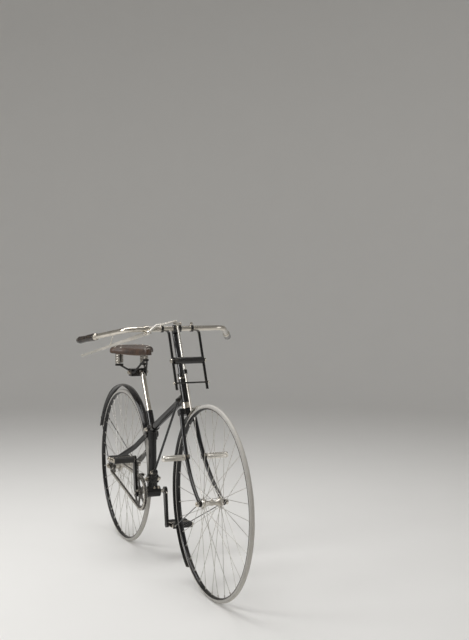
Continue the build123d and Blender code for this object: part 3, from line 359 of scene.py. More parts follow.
tyre_section = 0.019
front_hub = Vector(joints["front_wheel_spin"]["pos_m"])
rear_hub = Vector(joints["rear_wheel_spin"]["pos_m"])
hubs = {"front": front_hub, "rear": rear_hub}
pale_rubber, start, place = new_finish("pale_tyre_rubber")
cloud = place.noise(22.0, 6.0, 0.65)
crumb = place.noise(900.0, 3.0)
scuff = place.noise(140.0, 5.0, 0.7)
aside = start.node("ShaderNodeSeparateXYZ", {0: place}, out="Y")
tread = 1 - abs(aside).rise(0.003, 0.0075)
grey = cloud.blend((0.33, 0.32, 0.30, 1), (0.46, 0.445, 0.415, 1))
dusted = (tread * 0.5 + scuff.rise(0.5, 0.75) * 0.35).clamped().blend(grey, (0.60, 0.57, 0.52, 1))
nicked = (crumb.rise(0.68, 0.78) * 0.7).blend(dusted, (0.12, 0.11, 0.10, 1))
values = {"Base Color": nicked, "Roughness": 0.7 + crumb * 0.15, "Normal": crumb.dents(0.25, 0.0005)}
end_finish(start, values)

upright = (pi / 2, 0, 0)
tyre_tree, size = start_tree("endless_tyre", Circle=0.37, Section=0.0095, Hub=(0.0, 0.0, 0.0))
path = tyre_tree.node("GeometryNodeCurvePrimitiveCircle", {"Resolution": 220, "Radius": size["Circle"]})
cord = tyre_tree.node("GeometryNodeCurvePrimitiveCircle", {"Resolution": 24, "Radius": size["Section"]})
swept = tyre_tree.node("GeometryNodeCurveToMesh", {"Curve": path, "Profile Curve": cord})
values = {"Geometry": swept, "Rotation": upright, "Translation": size["Hub"]}
end_tree(tyre_tree, tyre_tree.node("GeometryNodeTransform", values), pale_rubber)
for wheel, hub in hubs.items():
    reach = hub.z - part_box(f"{wheel}_tyre")[0].z
    sizes = {"Circle": reach - tyre_section / 2, "Section": tyre_section / 2, "Hub": tuple(hub)}
    tyre = grow(f"{wheel}_tyre_cord", tyre_tree, f"{wheel}_wheel", "tyre", **sizes)
    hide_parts(f"{wheel}_tyre")

# Rims and spokes: rolled crescent rims in black enamel, and bright drawn wire spokes laced tangent to
# the flanges, each with a nipple at the rim. The wire is tinned and has dulled to grey.
for name in ("front_rim", "rear_rim"):
    dress(node[name], enamel)
wire, start, place = new_finish("tinned_spoke_wire")
dull = place.noise(40.0, 4.0)
rust = place.noise(600.0, 3.0, 0.7).rise(0.62, 0.74)
grey = dull.blend((0.72, 0.70, 0.66, 1), (0.38, 0.36, 0.33, 1))
colour = (rust * 0.6).blend(grey, (0.15, 0.085, 0.05, 1))
end_finish(start, {"Base Color": colour, "Metallic": 1.0, "Roughness": 0.2 + dull * 0.2 + rust * 0.3})
for name in ("front_spokes", "rear_spokes"):
    dress(node[name], wire)

# Front hub: gunmetal turned and nickel plated, swelling at each flange over the ball race, with a
# raised band in the middle that carries the oil cap.
up = (0, 0, 1)
left = (0, 1, 0)


def turned(rows, centre, way=left, steps=48, flutes=0):
    """A turned shape about a line: rows of station along it, radius and the depth of any flutes there."""
    axis = Vector(way).normalized()
    across = axis.cross(Vector(up) if abs(axis.z) < 0.9 else Vector(left)).normalized()
    over = axis.cross(across)
    points = []
    for station, radius, *fluted in rows:
        depth = fluted[0] if fluted else 0
        for step in range(steps):
            angle = 2 * pi * step / steps
            out = radius - depth * (0.5 + 0.5 * cos(flutes * angle))
            points.append(Vector(centre) + axis * station + (across * cos(angle) + over * sin(angle)) * out)
    first_end = tuple(reversed(range(steps)))
    last_end = tuple(range((len(rows) - 1) * steps, len(rows) * steps))
    return points, [first_end, *ring_faces(len(rows), steps), last_end]


def fit(name, shapes, material, body):
    """One piece of several shapes, dressed and riding on a body."""
    points = []
    faces = []
    for more_points, more_faces in shapes:
        first = len(points)
        points += more_points
        faces += [tuple(first + corner for corner in face) for face in more_faces]
    piece = add_mesh(name, points, faces)
    dress(piece, material)
    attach(piece, body)
    return piece


hub_half = [
    (0.0035, 0.0112),
    (0.0037, 0.0094),
    (0.0160, 0.0094),
    (0.0225, 0.0112),
    (0.0275, 0.0142),
    (0.0310, 0.0152),
    (0.0338, 0.0150),
    (0.0342, 0.0196),
    (0.0346, 0.0200),
    (0.0374, 0.0200),
    (0.0378, 0.0196),
    (0.0382, 0.0150),
    (0.0410, 0.0146),
    (0.0440, 0.0128),
    (0.0458, 0.0100),
    (0.0460, 0.0070),
]
hub_rows = [(-station, radius) for station, radius in reversed(hub_half)] + hub_half
oil_cap = [(0.0, 0.0034), (0.0024, 0.0034), (0.0026, 0.0044), (0.0052, 0.0044), (0.0066, 0.0028)]
band_radius = 0.0105
on_band = front_hub + Vector((0.0, 0.0, band_radius))
shapes = [turned(hub_rows, front_hub), turned(oil_cap, on_band, up, 20)]
hub = fit("front_hub_shell", shapes, satin, "front_wheel")
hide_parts("front_hub")
barrel_radius = 0.0135
on_barrel = rear_hub + Vector((0.0, 0.0, barrel_radius))
fit("rear_oil_cap", [turned(oil_cap, on_barrel, up, 20)], nickel, "rear_wheel")

# Mudguards: thin sheet steel rolled to an arch, its two edges turned over a wire, in black enamel, with
# wire stays from the axles.
for name in ("front_mudguard", "rear_mudguard", "front_guard_stays", "rear_guard_stays"):
    dress(node[name], enamel)
guard_half_width = 0.016
guard_bead = 0.0014
guard_edge_drop = 0.0044
guard_clearance = {"front": 0.009, "rear": 0.024}
guard_body = {"front": "steering", "rear": "frame"}


def guard_edge(wheel):
    """The radius of a guard's rolled edges: the tyre's and its clearance, less the drop of the arch."""
    return hubs[wheel].z - floor_z + guard_clearance[wheel] - guard_edge_drop


bead_sizes = {"Bead": guard_bead, "Half": guard_half_width}
bead_tree, size = start_tree(
    "rolled_guard_edges", Radius=0.38, Start=0.0, Sweep=1.0, Hub=(0.0, 0.0, 0.0), **bead_sizes
)
turn = {"Start Angle": size["Start"], "Sweep Angle": size["Sweep"]}
edge = bead_tree.node("GeometryNodeCurveArc", {"Resolution": 110, "Radius": size["Radius"], **turn})
section = bead_tree.node("GeometryNodeCurvePrimitiveCircle", {"Resolution": 8, "Radius": size["Bead"]})
values = {"Curve": edge, "Profile Curve": section, "Fill Caps": True}
rolled = bead_tree.node("GeometryNodeCurveToMesh", values)
sides = []
for side in (-1, 1):
    shift = bead_tree.node("ShaderNodeCombineXYZ", {"Z": size["Half"] * side})
    sides.append(bead_tree.node("GeometryNodeTransform", {"Geometry": rolled, "Translation": shift}))
both = bead_tree.node("GeometryNodeJoinGeometry", {"Geometry": sides})
values = {"Geometry": both, "Rotation": upright, "Translation": size["Hub"]}
end_tree(bead_tree, bead_tree.node("GeometryNodeTransform", values), enamel)
for wheel, first, last in (
    ("front", radians(127.6), radians(232.5)),
    ("rear", radians(33.0), radians(158.0)),
):
    arc = {"Radius": guard_edge(wheel), "Start": first, "Sweep": last - first, "Hub": tuple(hubs[wheel])}
    grow(f"{wheel}_guard_beads", bead_tree, guard_body[wheel], "enamel", **arc, **bead_sizes)

# Chain: block chain of one inch pitch, solid blocks and pairs of waisted side plates by turns, riveted.
# It runs on the chainring and on the small wheel of the rear hub; bright steel and oily, with the blocks between
# its side plates painted dark as their shade.
bottom_bracket = Vector(joints["crank_spin"]["pos_m"])
chain_line = -0.060
chain_pitch = 0.0254
chain_links = 45
ring_teeth = 18
sprocket_teeth = 9
ring_radius = 0.5 * chain_pitch / sin(pi / ring_teeth)
sprocket_radius = 0.5 * chain_pitch / sin(pi / sprocket_teeth)
oiled_and_shaded_steel, start, place = new_finish("oiled_chain_steel_with_painted_shade")
film = place.noise(90.0, 6.0, 0.7)
rub = place.noise(480.0, 3.0, 0.6).rise(0.42, 0.68)
aside = start.node("ShaderNodeSeparateXYZ", {0: place}, out="Y") - chain_line
# Painted shade: the blocks, and everything else between the side plates' inner faces in the chain's line, toothed
# wheels too, are darkened as if in shadow, on top of the oil film.
painted_block_shade = 1 - abs(aside).rise(0.0041, 0.0045)
# The dark mix is partly the oil film and partly painted shade.
oil_and_painted_shade = (film.rise(0.5, 0.7) * 0.7 + painted_block_shade * 0.85).clamped()
steel = oil_and_painted_shade.blend((0.50, 0.475, 0.43, 1), (0.035, 0.030, 0.026, 1))
polished = (rub * (0.5 - painted_block_shade * 0.35)).blend(steel, (0.62, 0.59, 0.54, 1))
values = {"Base Color": polished, "Metallic": 0.95 - oil_and_painted_shade * 0.5, "Roughness": 0.26 + oil_and_painted_shade * 0.35}
end_finish(start, {**values, "Normal": film.dents(0.2, 0.0003)})
run = bottom_bracket - rear_hub
slope = atan2(run.z, run.x)
spread = asin((ring_radius - sprocket_radius) / Vector((run.x, run.z)).length)
wrap_steps = 48
course = []
for hub, radius, first, last in (
    (bottom_bracket, ring_radius, slope - pi / 2 - spread, slope + pi / 2 + spread),
    (rear_hub, sprocket_radius, slope + pi / 2 + spread, slope + 1.5 * pi - spread),
):
    for step in range(wrap_steps + 1):
        angle = first + (last - first) * step / wrap_steps
        course.append((hub.x + radius * cos(angle), chain_line, hub.z + radius * sin(angle)))
loop = bpy.data.meshes.new("chain_course")
loop.from_pydata(course, [(step, (step + 1) % len(course)) for step in range(len(course))], [])

chain_tree, size = start_tree(
    "block_chain",
    Links=chain_links,
    Plate_length=0.0152,
    Block_length=0.0102,
    Lobe=0.0058,
    Waist=0.0040,
    Plate=0.0020,
    Half_width=0.0060,
    Rivet=0.0028,
)
web_share = 0.96
block_lobe_share = 0.92
block_width_share = 0.99
rivet_stand = 0.0007


def waisted(tree, length, lobe, waist, thickness):
    """A link shaped like a figure of eight, lying along x with its flat faces towards y."""
    ends = []
    for side in (-0.5, 0.5):
        disc = tree.node("GeometryNodeMeshCylinder", {"Vertices": 12, "Radius": lobe, "Depth": thickness})
        shift = tree.node("ShaderNodeCombineXYZ", {"X": length * side})
        ends.append(tree.node("GeometryNodeTransform", {"Geometry": disc, "Translation": shift}))
    box = tree.node("ShaderNodeCombineXYZ", {"X": length, "Y": waist * 2, "Z": thickness * web_share})
    web = tree.node("GeometryNodeMeshCube", {"Size": box})
    joined = tree.node("GeometryNodeJoinGeometry", {"Geometry": [*ends, web]})
    return tree.node("GeometryNodeTransform", {"Geometry": joined, "Rotation": upright})


course = chain_tree.node("GeometryNodeMeshToCurve", {"Mesh": size["Seed"]})
spaced = chain_tree.node("GeometryNodeResampleCurve", {"Curve": course, "Count": size["Links"] * 2})
along = chain_tree.node("GeometryNodeInputTangent")
turned_to = chain_tree.node("FunctionNodeAlignRotationToVector", {"Vector": along}, axis="X", pivot_axis="Y")
odd = chain_tree.node("GeometryNodeInputIndex") % 2.0
block_width = (size["Half_width"] - size["Plate"]) * (2 * block_width_share)
block_lobe = size["Lobe"] * block_lobe_share
block = waisted(chain_tree, size["Block_length"], block_lobe, size["Waist"], block_width)
plate = waisted(chain_tree, size["Plate_length"], size["Lobe"], size["Waist"], size["Plate"])
rivet_length = size["Half_width"] * 2 + 2 * rivet_stand
values = {"Vertices": 10, "Radius": size["Rivet"], "Depth": rivet_length}
rivet = chain_tree.node("GeometryNodeMeshCylinder", values)
rivets = []
pair = []
for side in (-1, 1):
    shift = chain_tree.node("ShaderNodeCombineXYZ", {"X": size["Block_length"] * 0.5 * side})
    values = {"Geometry": rivet, "Rotation": upright, "Translation": shift}
    rivets.append(chain_tree.node("GeometryNodeTransform", values))
    shift = chain_tree.node("ShaderNodeCombineXYZ", {"Y": (size["Half_width"] - size["Plate"] * 0.5) * side})
    pair.append(chain_tree.node("GeometryNodeTransform", {"Geometry": plate, "Translation": shift}))
riveted = chain_tree.node("GeometryNodeJoinGeometry", {"Geometry": [block, *rivets]})
plates = chain_tree.node("GeometryNodeJoinGeometry", {"Geometry": pair})
links = []
for shape, pick in ((riveted, 1 - odd), (plates, odd)):
    values = {"Points": spaced, "Instance": shape, "Selection": pick, "Rotation": turned_to}
    links.append(chain_tree.node("GeometryNodeInstanceOnPoints", values))
end_tree(chain_tree, chain_tree.node("GeometryNodeJoinGeometry", {"Geometry": links}), oiled_and_shaded_steel)
chain = grow("riveted_block_chain", chain_tree, "frame", "steel", seed=loop, Links=chain_links)
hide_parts("chain")

# Toothed wheels and spindle: cut from steel plate and bar, oiled like the chain, and painted dark as shade like
# its blocks where they lie in its line. The cranks are forged and enamelled, keyed to the spindle by cotter pins;
# the pedals' end plates are bright.
for name in ("rear_sprocket", "chainring", "crank_spindle"):
    dress(node[name], oiled_and_shaded_steel)
for name in ("crank_right", "crank_left"):
    dress(node[name], enamel)
for name in ("pedal_right_frame", "pedal_left_frame"):
    dress(node[name], nickel)
crank_angle = radians(98.0)
pin_offset = 0.0095
cotter = [(-0.0215, 0.0030), (-0.0205, 0.0038), (0.0205, 0.0034), (0.0212, 0.0026)]
cotter_nut = [(0.0166, 0.0066), (0.0196, 0.0066)]
shapes = []
for side, y in ((1, -0.078), (-1, 0.058)):
    along = Vector((cos(crank_angle), 0.0, sin(crank_angle))) * side
    beside = Vector((along.z, 0.0, -along.x))
    seat = Vector((bottom_bracket.x, y, bottom_bracket.z)) + along * pin_offset
    shapes += [turned(cotter, seat, beside, 16), turned(cotter_nut, seat, beside, 6)]
fit("cotter_pins", shapes, nickel, "crankset")

# Bracket clamp: the bottom bracket's neck is split and pinched on the seat tube. A round boss on the
# front of the split takes the cross bolt; it is enamelled with the frame.
ahead = (1, 0, 0)
tube_radius = 0.018
pinch_rise = 0.056
tube_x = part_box("seat_tube")[0].x + tube_radius
pinch_z = bottom_bracket.z + pinch_rise
boss = [(0.0140, 0.0180), (0.0225, 0.0180), (0.0240, 0.0165), (0.0244, 0.0150)]
boss += [(0.0234, 0.0138), (0.0234, 0.0080), (0.0262, 0.0068), (0.0266, 0.0055)]
clamp_boss = turned(boss, (tube_x, -0.004, pinch_z + 0.001), ahead, 40)
fit("bracket_clamp_boss", [clamp_boss], enamel, "frame")

# Pedal rubbers: two square bars of black rubber on each pedal, moulded with ribs above and below, and
# greyed by wear and dust.
black_rubber, start, place = new_finish("black_rubber")
cloud = place.noise(80.0, 5.0)
grit = place.noise(700.0, 3.0)
colour = cloud.blend((0.012, 0.012, 0.012, 1), (0.034, 0.032, 0.029, 1))
greyed = (grit.rise(0.55, 0.75) * 0.5).blend(colour, (0.12, 0.11, 0.095, 1))
values = {"Base Color": greyed, "Roughness": 0.5 + cloud * 0.25, "Normal": grit.dents(0.2, 0.0003)}
end_finish(start, values)
bar_depth = 0.026
bar_round = 0.003
bar_end_round = 0.0012
bar_end_share = 0.92
rib_count = 4
groove_depth = 0.0022
low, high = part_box("pedal_right_rubbers")
bar_height = high.z - low.z
rib_pitch = (bar_depth - 2 * bar_round) / (rib_count - 0.5)
half_outline = [(-bar_depth / 2, bar_height / 2 - bar_round)]
for rib in range(rib_count):
    rib_x = bar_round - bar_depth / 2 + rib * rib_pitch
    half_outline += [(rib_x, bar_height / 2), (rib_x + rib_pitch * 0.5, bar_height / 2)]
    if rib < rib_count - 1:
        for share in (0.6, 0.9):
            half_outline.append((rib_x + rib_pitch * share, bar_height / 2 - groove_depth))
half_outline.append((bar_depth / 2, bar_height / 2 - bar_round))
outline = half_outline + [(-x, -z) for x, z in half_outline]
count = len(outline)
for side in ("right", "left"):
    low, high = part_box(f"pedal_{side}_rubbers")
    centre_z = (low.z + high.z) / 2
    sections = [(low.y, bar_end_share), (low.y + bar_end_round, 1.0)]
    sections += [(high.y - bar_end_round, 1.0), (high.y, bar_end_share)]
    shapes = []
    for centre_x in (low.x + bar_depth / 2, high.x - bar_depth / 2):
        points = []
        for y, draw in sections:
            points += [Vector((centre_x + x * draw, y, centre_z + z * draw)) for x, z in outline]
        last_end = tuple(reversed(range(len(points) - count, len(points))))
        faces = [tuple(range(count)), *ring_faces(len(sections), count, flipped=True), last_end]
        shapes.append((points, faces))
    bars = fit(f"pedal_{side}_bars", shapes, black_rubber, f"pedal_{side}")
    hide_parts(f"pedal_{side}_rubbers")

# Foot pegs: steel, fluted along their length and nickel plated, each clamped round a fork blade with a
# bolt ahead and closed by a round cap.
mount_at = {mount["name"]: Vector(mount["pos_m"]) for mount in frame["record"]["mounts"]}
peg_line = mount_at["foot_peg_right"].copy()
peg_line.y = 0.0
blade_spread = 0.0375
clamp_rows = [(-0.009, 0.0122), (-0.0082, 0.0134), (0.0082, 0.0134), (0.009, 0.0122)]
peg_rows = [(0.0370, 0.0070), (0.0455, 0.0070), (0.0460, 0.0122), (0.0466, 0.0130)]
peg_rows += [(0.0494, 0.0130), (0.0500, 0.0122), (0.0504, 0.0100), (0.0512, 0.0116, 0.0024)]
peg_rows += [(0.0530, 0.0124, 0.0030), (0.1310, 0.0124, 0.0030), (0.1328, 0.0116, 0.0024)]
peg_rows += [(0.1336, 0.0100), (0.1340, 0.0122), (0.1372, 0.0122), (0.1398, 0.0108)]
peg_rows += [(0.1414, 0.0076), (0.1420, 0.0030)]
clamp_lug = [(0.010, 0.0060), (0.0165, 0.0060), (0.0170, 0.0052)]
pegs = []
clamps = []
peg_ahead = up_stem.cross(Vector((0, -1, 0)))
for side in (-1, 1):
    on_blade = peg_line + Vector((0.0, side * blade_spread, 0.0))
    clamps.append(turned(clamp_rows, on_blade, up_stem))
    clamps.append(turned(clamp_lug, on_blade, peg_ahead, 16))
    pegs.append(turned(peg_rows, peg_line, (0, side, 0), 64, 8))
fluted_pegs = fit("fluted_foot_pegs", pegs, satin, "steering")
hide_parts("foot_pegs")
peg_clamps = fit("peg_clamps", clamps, enamel, "steering")
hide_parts("foot_pegs")

# Handlebar and brake: steel, nickel plated, the bar polished. The lever lies under the right grip and
# lifts the plunger rod; a pin with a thumb knob holds the rod's cap, and a wire spring returns the lever.
for name in ("handlebar", "brake_bracket"):
    dress(node[name], nickel)
for name in ("brake_lever", "brake_plunger"):
    dress(node[name], satin)
dress(node["brake_guide"], enamel)
bar_centre = mount_at["bell_bar_seat"].copy()
bar_centre.y = 0.0
cap_x = 0.5086
cap_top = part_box("brake_plunger")[1].z
cap_pin_drop = 0.0062
cap_middle = Vector((cap_x, 0.0, cap_top - cap_pin_drop))
pin_rows = [(-0.0170, 0.0024), (-0.0166, 0.0030), (0.0125, 0.0030), (0.0128, 0.0058)]
pin_rows += [(0.0150, 0.0066), (0.0176, 0.0058), (0.0182, 0.0030)]
spring_from = bar_centre + Vector((-0.0749, -0.250, -0.0157))
spring_to = bar_centre + Vector((-0.137, -0.2475, -0.075))
spring_run = spring_to - spring_from
wire_rows = [(0.0, 0.0012), (0.0006, 0.0016), (spring_run.length - 0.0006, 0.0016)]
wire_rows.append((spring_run.length, 0.0012))
lever_pin = [(-0.012, 0.0036), (-0.0116, 0.0042), (0.0126, 0.0042), (0.013, 0.0036)]
lever_pivot = bar_centre + Vector((0.024, -0.134, -0.014))
shapes = [
    turned(pin_rows, cap_middle, left, 24),
    turned(wire_rows, spring_from, spring_run, 12),
    turned(lever_pin, lever_pivot, left, 16),
]
fit("brake_pins_and_spring", shapes, nickel, "steering")

# Grips: black horn with paler streaks along it, turned to shape and pushed on the bar's ends. A nickel
# plated ferrule closes the front end of each.
horn, start, place = new_finish("streaked_black_horn")
along = start.node("ShaderNodeVectorMath", {0: place, 1: (0.12, 1.0, 0.7)}, operation="MULTIPLY")
streak = along.noise(260.0, 5.0, 0.7)
scratch = place.noise(900.0, 2.0)
dark = streak.rise(0.42, 0.72).blend((0.012, 0.009, 0.008, 1), (0.085, 0.060, 0.040, 1))
values = {"Base Color": dark, "Roughness": 0.18 + streak * 0.15, "Coat Weight": 0.25}
end_finish(start, {**values, "Normal": scratch.dents(0.06, 0.0002)})
dress(node["grips"], horn)
grip_length = 0.108
ferrule = [(-0.0070, 0.0112), (-0.0066, 0.0120), (-0.0040, 0.0126), (-0.0020, 0.0146)]
ferrule += [(0.0006, 0.0150), (0.0080, 0.0153), (0.0092, 0.0150), (0.0094, 0.0140)]
shapes = []
for side in (-1, 1):
    corner = bar_centre + Vector((0.0, side * 0.212, 0.0))
    tip = bar_centre + Vector((-0.262, side * 0.345, -0.055))
    run_out = (tip - corner).normalized()
    shapes.append(turned(ferrule, tip - run_out * grip_length, run_out, 36))
fit("grip_ferrules", shapes, nickel, "steering")

# Luggage carrier: two enamelled straps of flat steel that hook over the bar under screwed clamps, a
# round roller between them and a thin rod below, each held by a bright knob at its ends. The black of
# the roller is rubbed through in bands round it.
dress(node["carrier_straps"], enamel)
japan, start, place = new_finish("rubbed_black_japan")
across = start.node("ShaderNodeVectorMath", {0: place, 1: (1.0, 0.25, 1.0)}, operation="MULTIPLY")
rub_marks = across.noise(120.0, 6.0, 0.75)
patch = place.noise(30.0, 4.0)
bare = (rub_marks.rise(0.5, 0.72) * patch.rise(0.4, 0.65)).clamped()
colour = bare.blend((0.011, 0.010, 0.0095, 1), (0.20, 0.175, 0.14, 1))
values = {"Base Color": colour, "Roughness": 0.2 + bare * 0.35, "Metallic": bare * 0.6, "Coat Weight": 0.3}
end_finish(start, values)
dress(node["carrier_bars"], japan)
strap_spread = 0.066
strap_lead = 0.082
strap_bend_drop = 0.0055
strap_slope = 0.40403
rod_drop = 0.211
roller = mount_at["luggage_roller"]
rod = bar_centre + Vector((strap_lead + (rod_drop - strap_bend_drop) * strap_slope, 0.0, -rod_drop))
knob = [(0.0706, 0.78), (0.0712, 1.0), (0.0745, 1.0), (0.0772, 0.86), (0.0786, 0.5)]
sleeve = [(-0.0080, 0.0124), (-0.0074, 0.0132), (0.0074, 0.0132), (0.0080, 0.0124)]
screw_seat = [(0.0110, 0.0072), (0.0160, 0.0064), (0.0184, 0.0060), (0.0188, 0.0052)]
shapes = []
for side in (-1, 1):
    for centre, radius in ((roller, 0.0086), (rod, 0.0056)):
        rows = [(station, share * radius) for station, share in knob]
        shapes.append(turned(rows, (centre.x, 0.0, centre.z), (0, side, 0), 28))
    on_bar = bar_centre + Vector((0.0, side * strap_spread, 0.0))
    shapes += [turned(sleeve, on_bar, left, 32), turned(screw_seat, on_bar, up, 20)]
fit("carrier_knobs_and_clamps", shapes, nickel, "steering")

# Bolts and nuts: bright steel hexagons over a washer, with the bolt's end standing out, wherever the
# machine is pinched or pinned.
def at_points(name, rows):
    """A seed mesh of points, from rows of each seat's place, the way it faces and its size across."""
    places, ways, spans = zip(*rows)
    mesh = bpy.data.meshes.new(name)
    mesh.from_pydata([tuple(place) for place in places], [], [])
    facing = mesh.attributes.new("facing", "FLOAT_VECTOR", "POINT")
    facing.data.foreach_set("vector", [number for way in ways for number in Vector(way).normalized()])
    across = mesh.attributes.new("across", "FLOAT", "POINT")
    across.data.foreach_set("value", spans)
    return mesh


def stand_on(start, seats, shape, material):
    """Closes a tree with its shape on every seat, turned and sized as the seat's point says."""
    span = start.node("GeometryNodeInputNamedAttribute", {"Name": "across"}, data_type="FLOAT")
    facing = start.node("GeometryNodeInputNamedAttribute", {"Name": "facing"}, data_type="FLOAT_VECTOR")
    stood = start.node("FunctionNodeAlignRotationToVector", {"Vector": facing}, axis="Z")
    values = {"Points": seats, "Instance": shape, "Rotation": stood, "Scale": span}
    end_tree(start, start.node("GeometryNodeInstanceOnPoints", values), material)


bolt_tree, size = start_tree("hexagon_bolts", Washer=0.66)
layers = []
for sides, radius, depth, foot in (
    (16, size["Washer"], 0.12, 0.0),
    (6, 0.56, 0.42, 0.12),
    (12, 0.48, 0.07, 0.54),
    (12, 0.28, 0.16, 0.61),
):
    values = {"Vertices": sides, "Radius": radius, "Depth": depth}
    disc = bolt_tree.node("GeometryNodeMeshCylinder", values)
    lifted = {"Geometry": disc, "Translation": (0, 0, foot + depth / 2)}
    layers.append(bolt_tree.node("GeometryNodeTransform", lifted))
head = bolt_tree.node("GeometryNodeJoinGeometry", {"Geometry": layers})
stand_on(bolt_tree, size["Seed"], head, nickel)

right = (0, -1, 0)
lug_bolt_z = bottom_bracket.z + 0.278
tie_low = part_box("tie_rod")[0]
tie_x, tie_z = tie_low.x + 0.009, tie_low.z + 0.009
over_shell = (0.62, 0.0, 0.785)
shell_x, shell_z = bottom_bracket.x + 0.0149, bottom_bracket.z + 0.0188
saddle_clip_y, saddle_clip_z = 0.0372, -0.112
strap_bolt_rise = 0.0186
peg_bolt_lead = 0.0168
strap_bolts = []
peg_bolts = []
for side in (-1, 1):
    strap_bolts.append(bar_centre + Vector((0.0, side * strap_spread, strap_bolt_rise)))
    peg_bolts.append(peg_line + peg_ahead * peg_bolt_lead + Vector((0.0, side * blade_spread, 0.0)))
bolts = {
    "frame": [
        ((tube_x, -0.027, lug_bolt_z), right, 0.014),
        ((tube_x, -0.024, pinch_z), right, 0.017),
        ((tube_x, 0.024, pinch_z), left, 0.017),
        ((tube_x + 0.0175, 0.0200, pinch_z), ahead, 0.010),
        ((tie_x, -0.018, tie_z), right, 0.013),
        ((tie_x, -0.0033, tie_z), left, 0.013),
        ((shell_x, 0.0000, shell_z), over_shell, 0.010),
        ((shell_x, 0.0190, shell_z), over_shell, 0.010),
        ((0.0, -saddle_clip_y, saddle_clip_z), right, 0.016),
        ((0.0, saddle_clip_y, saddle_clip_z), left, 0.016),
    ],
    "steering": [
        (lever_pivot + Vector((0.0, -0.0095, 0.0)), right, 0.011),
        *[(seat, peg_ahead, 0.0085) for seat in peg_bolts],
        *[(seat, up, 0.0095) for seat in strap_bolts],
    ],
}
for side, outer, way in (("right", -0.186, right), ("left", 0.166, left)):
    low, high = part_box(f"pedal_{side}_rubbers")
    seat_z = (low.z + high.z) / 2
    rows = [((x, outer, seat_z), way, 0.011) for x in (low.x + bar_depth / 2, high.x - bar_depth / 2)]
    bolts[f"pedal_{side}"] = [*rows, (((low.x + high.x) / 2, outer, seat_z), way, 0.014)]
for body, rows in bolts.items():
    seats = at_points(f"{body}_bolt_seats", rows)
    grow(f"{body}_bolt_heads", bolt_tree, body, "nickel", seed=seats)

# Rivets: domed and nickel plated, where the stays' ends meet the guards' edges; the saddle has larger
# ones of the same form.
rivet_tree, size = start_tree("domed_rivets", Height=0.55)
ball = rivet_tree.node("GeometryNodeMeshUVSphere", {"Segments": 12, "Rings": 6, "Radius": 0.5})
flatter = rivet_tree.node("ShaderNodeCombineXYZ", {"X": 1.0, "Y": 1.0, "Z": size["Height"]})
dome = rivet_tree.node("GeometryNodeTransform", {"Geometry": ball, "Scale": flatter})
stand_on(rivet_tree, size["Seed"], dome, nickel)
rivet_spread = 0.0195
for wheel, angle in (("front", radians(205.0)), ("rear", radians(150.0))):
    hub, reach = hubs[wheel], guard_edge(wheel)
    foot_x, foot_z = hub.x + reach * cos(angle), hub.z + reach * sin(angle)
    rows = [((foot_x, side * rivet_spread, foot_z), (0, side, 0), 0.0062) for side in (-1, 1)]
    seats = at_points(f"{wheel}_stay_ends", rows)
    grow(f"{wheel}_stay_rivets", rivet_tree, guard_body[wheel], "nickel", seed=seats)

# Step: a steel arm and peg below the left end of the rear axle, enamelled like the frame, with rings
# filed round the peg for grip.
step_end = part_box("mounting_step")[1].y
step_drop = 0.056
ring_pitch = 0.003
first_ring = 0.0666
on_peg = (rear_hub.x, 0.0, rear_hub.z - step_drop)
ring_rows = [(0.0662, 0.0068)]
for ring in range(9):
    foot = first_ring + ring * ring_pitch
    ring_rows += [(foot, 0.0072), (foot + 0.0006, 0.0079)]
    ring_rows += [(foot + 0.0016, 0.0079), (foot + 0.0022, 0.0072)]
ring_rows += [(step_end + 0.0002, 0.0072), (step_end + 0.0012, 0.0050)]
fit("step_grip_rings", [turned(ring_rows, on_peg, left, 32)], enamel, "frame")

# Saddle springs: oiled round wire, closely wound, under the cantle plate and the nose plate. The clip
# and the rails that carry them are black enamel.
spring_tree, size = start_tree(
    "wound_spring", Radius=0.016, Wire=0.0032, Turns=11.0, Rise=0.0634, Foot=(0.0, 0.0, 0.0)
)
values = {"Resolution": 26, "Rotations": size["Turns"], "Height": size["Rise"]}
round_coil = {"Start Radius": size["Radius"], "End Radius": size["Radius"]}
helix = spring_tree.node("GeometryNodeCurveSpiral", {**values, **round_coil})
section = spring_tree.node("GeometryNodeCurvePrimitiveCircle", {"Resolution": 8, "Radius": size["Wire"]})
values = {"Curve": helix, "Profile Curve": section, "Fill Caps": True}
wound = spring_tree.node("GeometryNodeCurveToMesh", values)
stood = spring_tree.node("GeometryNodeTransform", {"Geometry": wound, "Translation": size["Foot"]})
end_tree(spring_tree, stood, oiled_and_shaded_steel)
spring_top = -0.008
coil_pitch = 1.8
for name, x, y, radius, gauge, turns in (
    ("rear_right_spring", -0.088, -0.060, 0.016, 0.0032, 11.0),
    ("rear_left_spring", -0.088, 0.060, 0.016, 0.0032, 11.0),
    ("nose_spring", 0.112, 0.0, 0.009, 0.0022, 8.0),
):
    rise = coil_pitch * gauge * turns
    foot = (x, y, spring_top - gauge - rise)
    sizes = {"Radius": radius, "Wire": gauge, "Turns": turns, "Rise": rise, "Foot": foot}
    spring = grow(name, spring_tree, "frame", "steel", **sizes)
    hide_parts("saddle_springs")
dress(node["saddle_frame"], enamel)

# Saddle leather: one hide blocked wet over a last, drawn down at the sides into a skirt, riveted to the
# cantle and nose plates. Brown-black, polished by use on top and dry along its cut edge.
nose = 0.154
nose_tip = 0.019
rear = 0.135
half_width = 0.104
waist_x, waist_half = 0.060, 0.026
widest_x = -0.075
skirt = 0.033
skirt_dip = 0.26
skirt_wave = 12
skirt_deepest_x = 0.02
least_skirt = 0.002
crown_depth = 0.0235
spine_rear, spine_front = -0.100, 0.138
seat_low_x = 0.010
rear_rise, rear_run = 0.012, 0.160
nose_rise, nose_run = 0.007, 0.164
hide_thickness = 0.0036


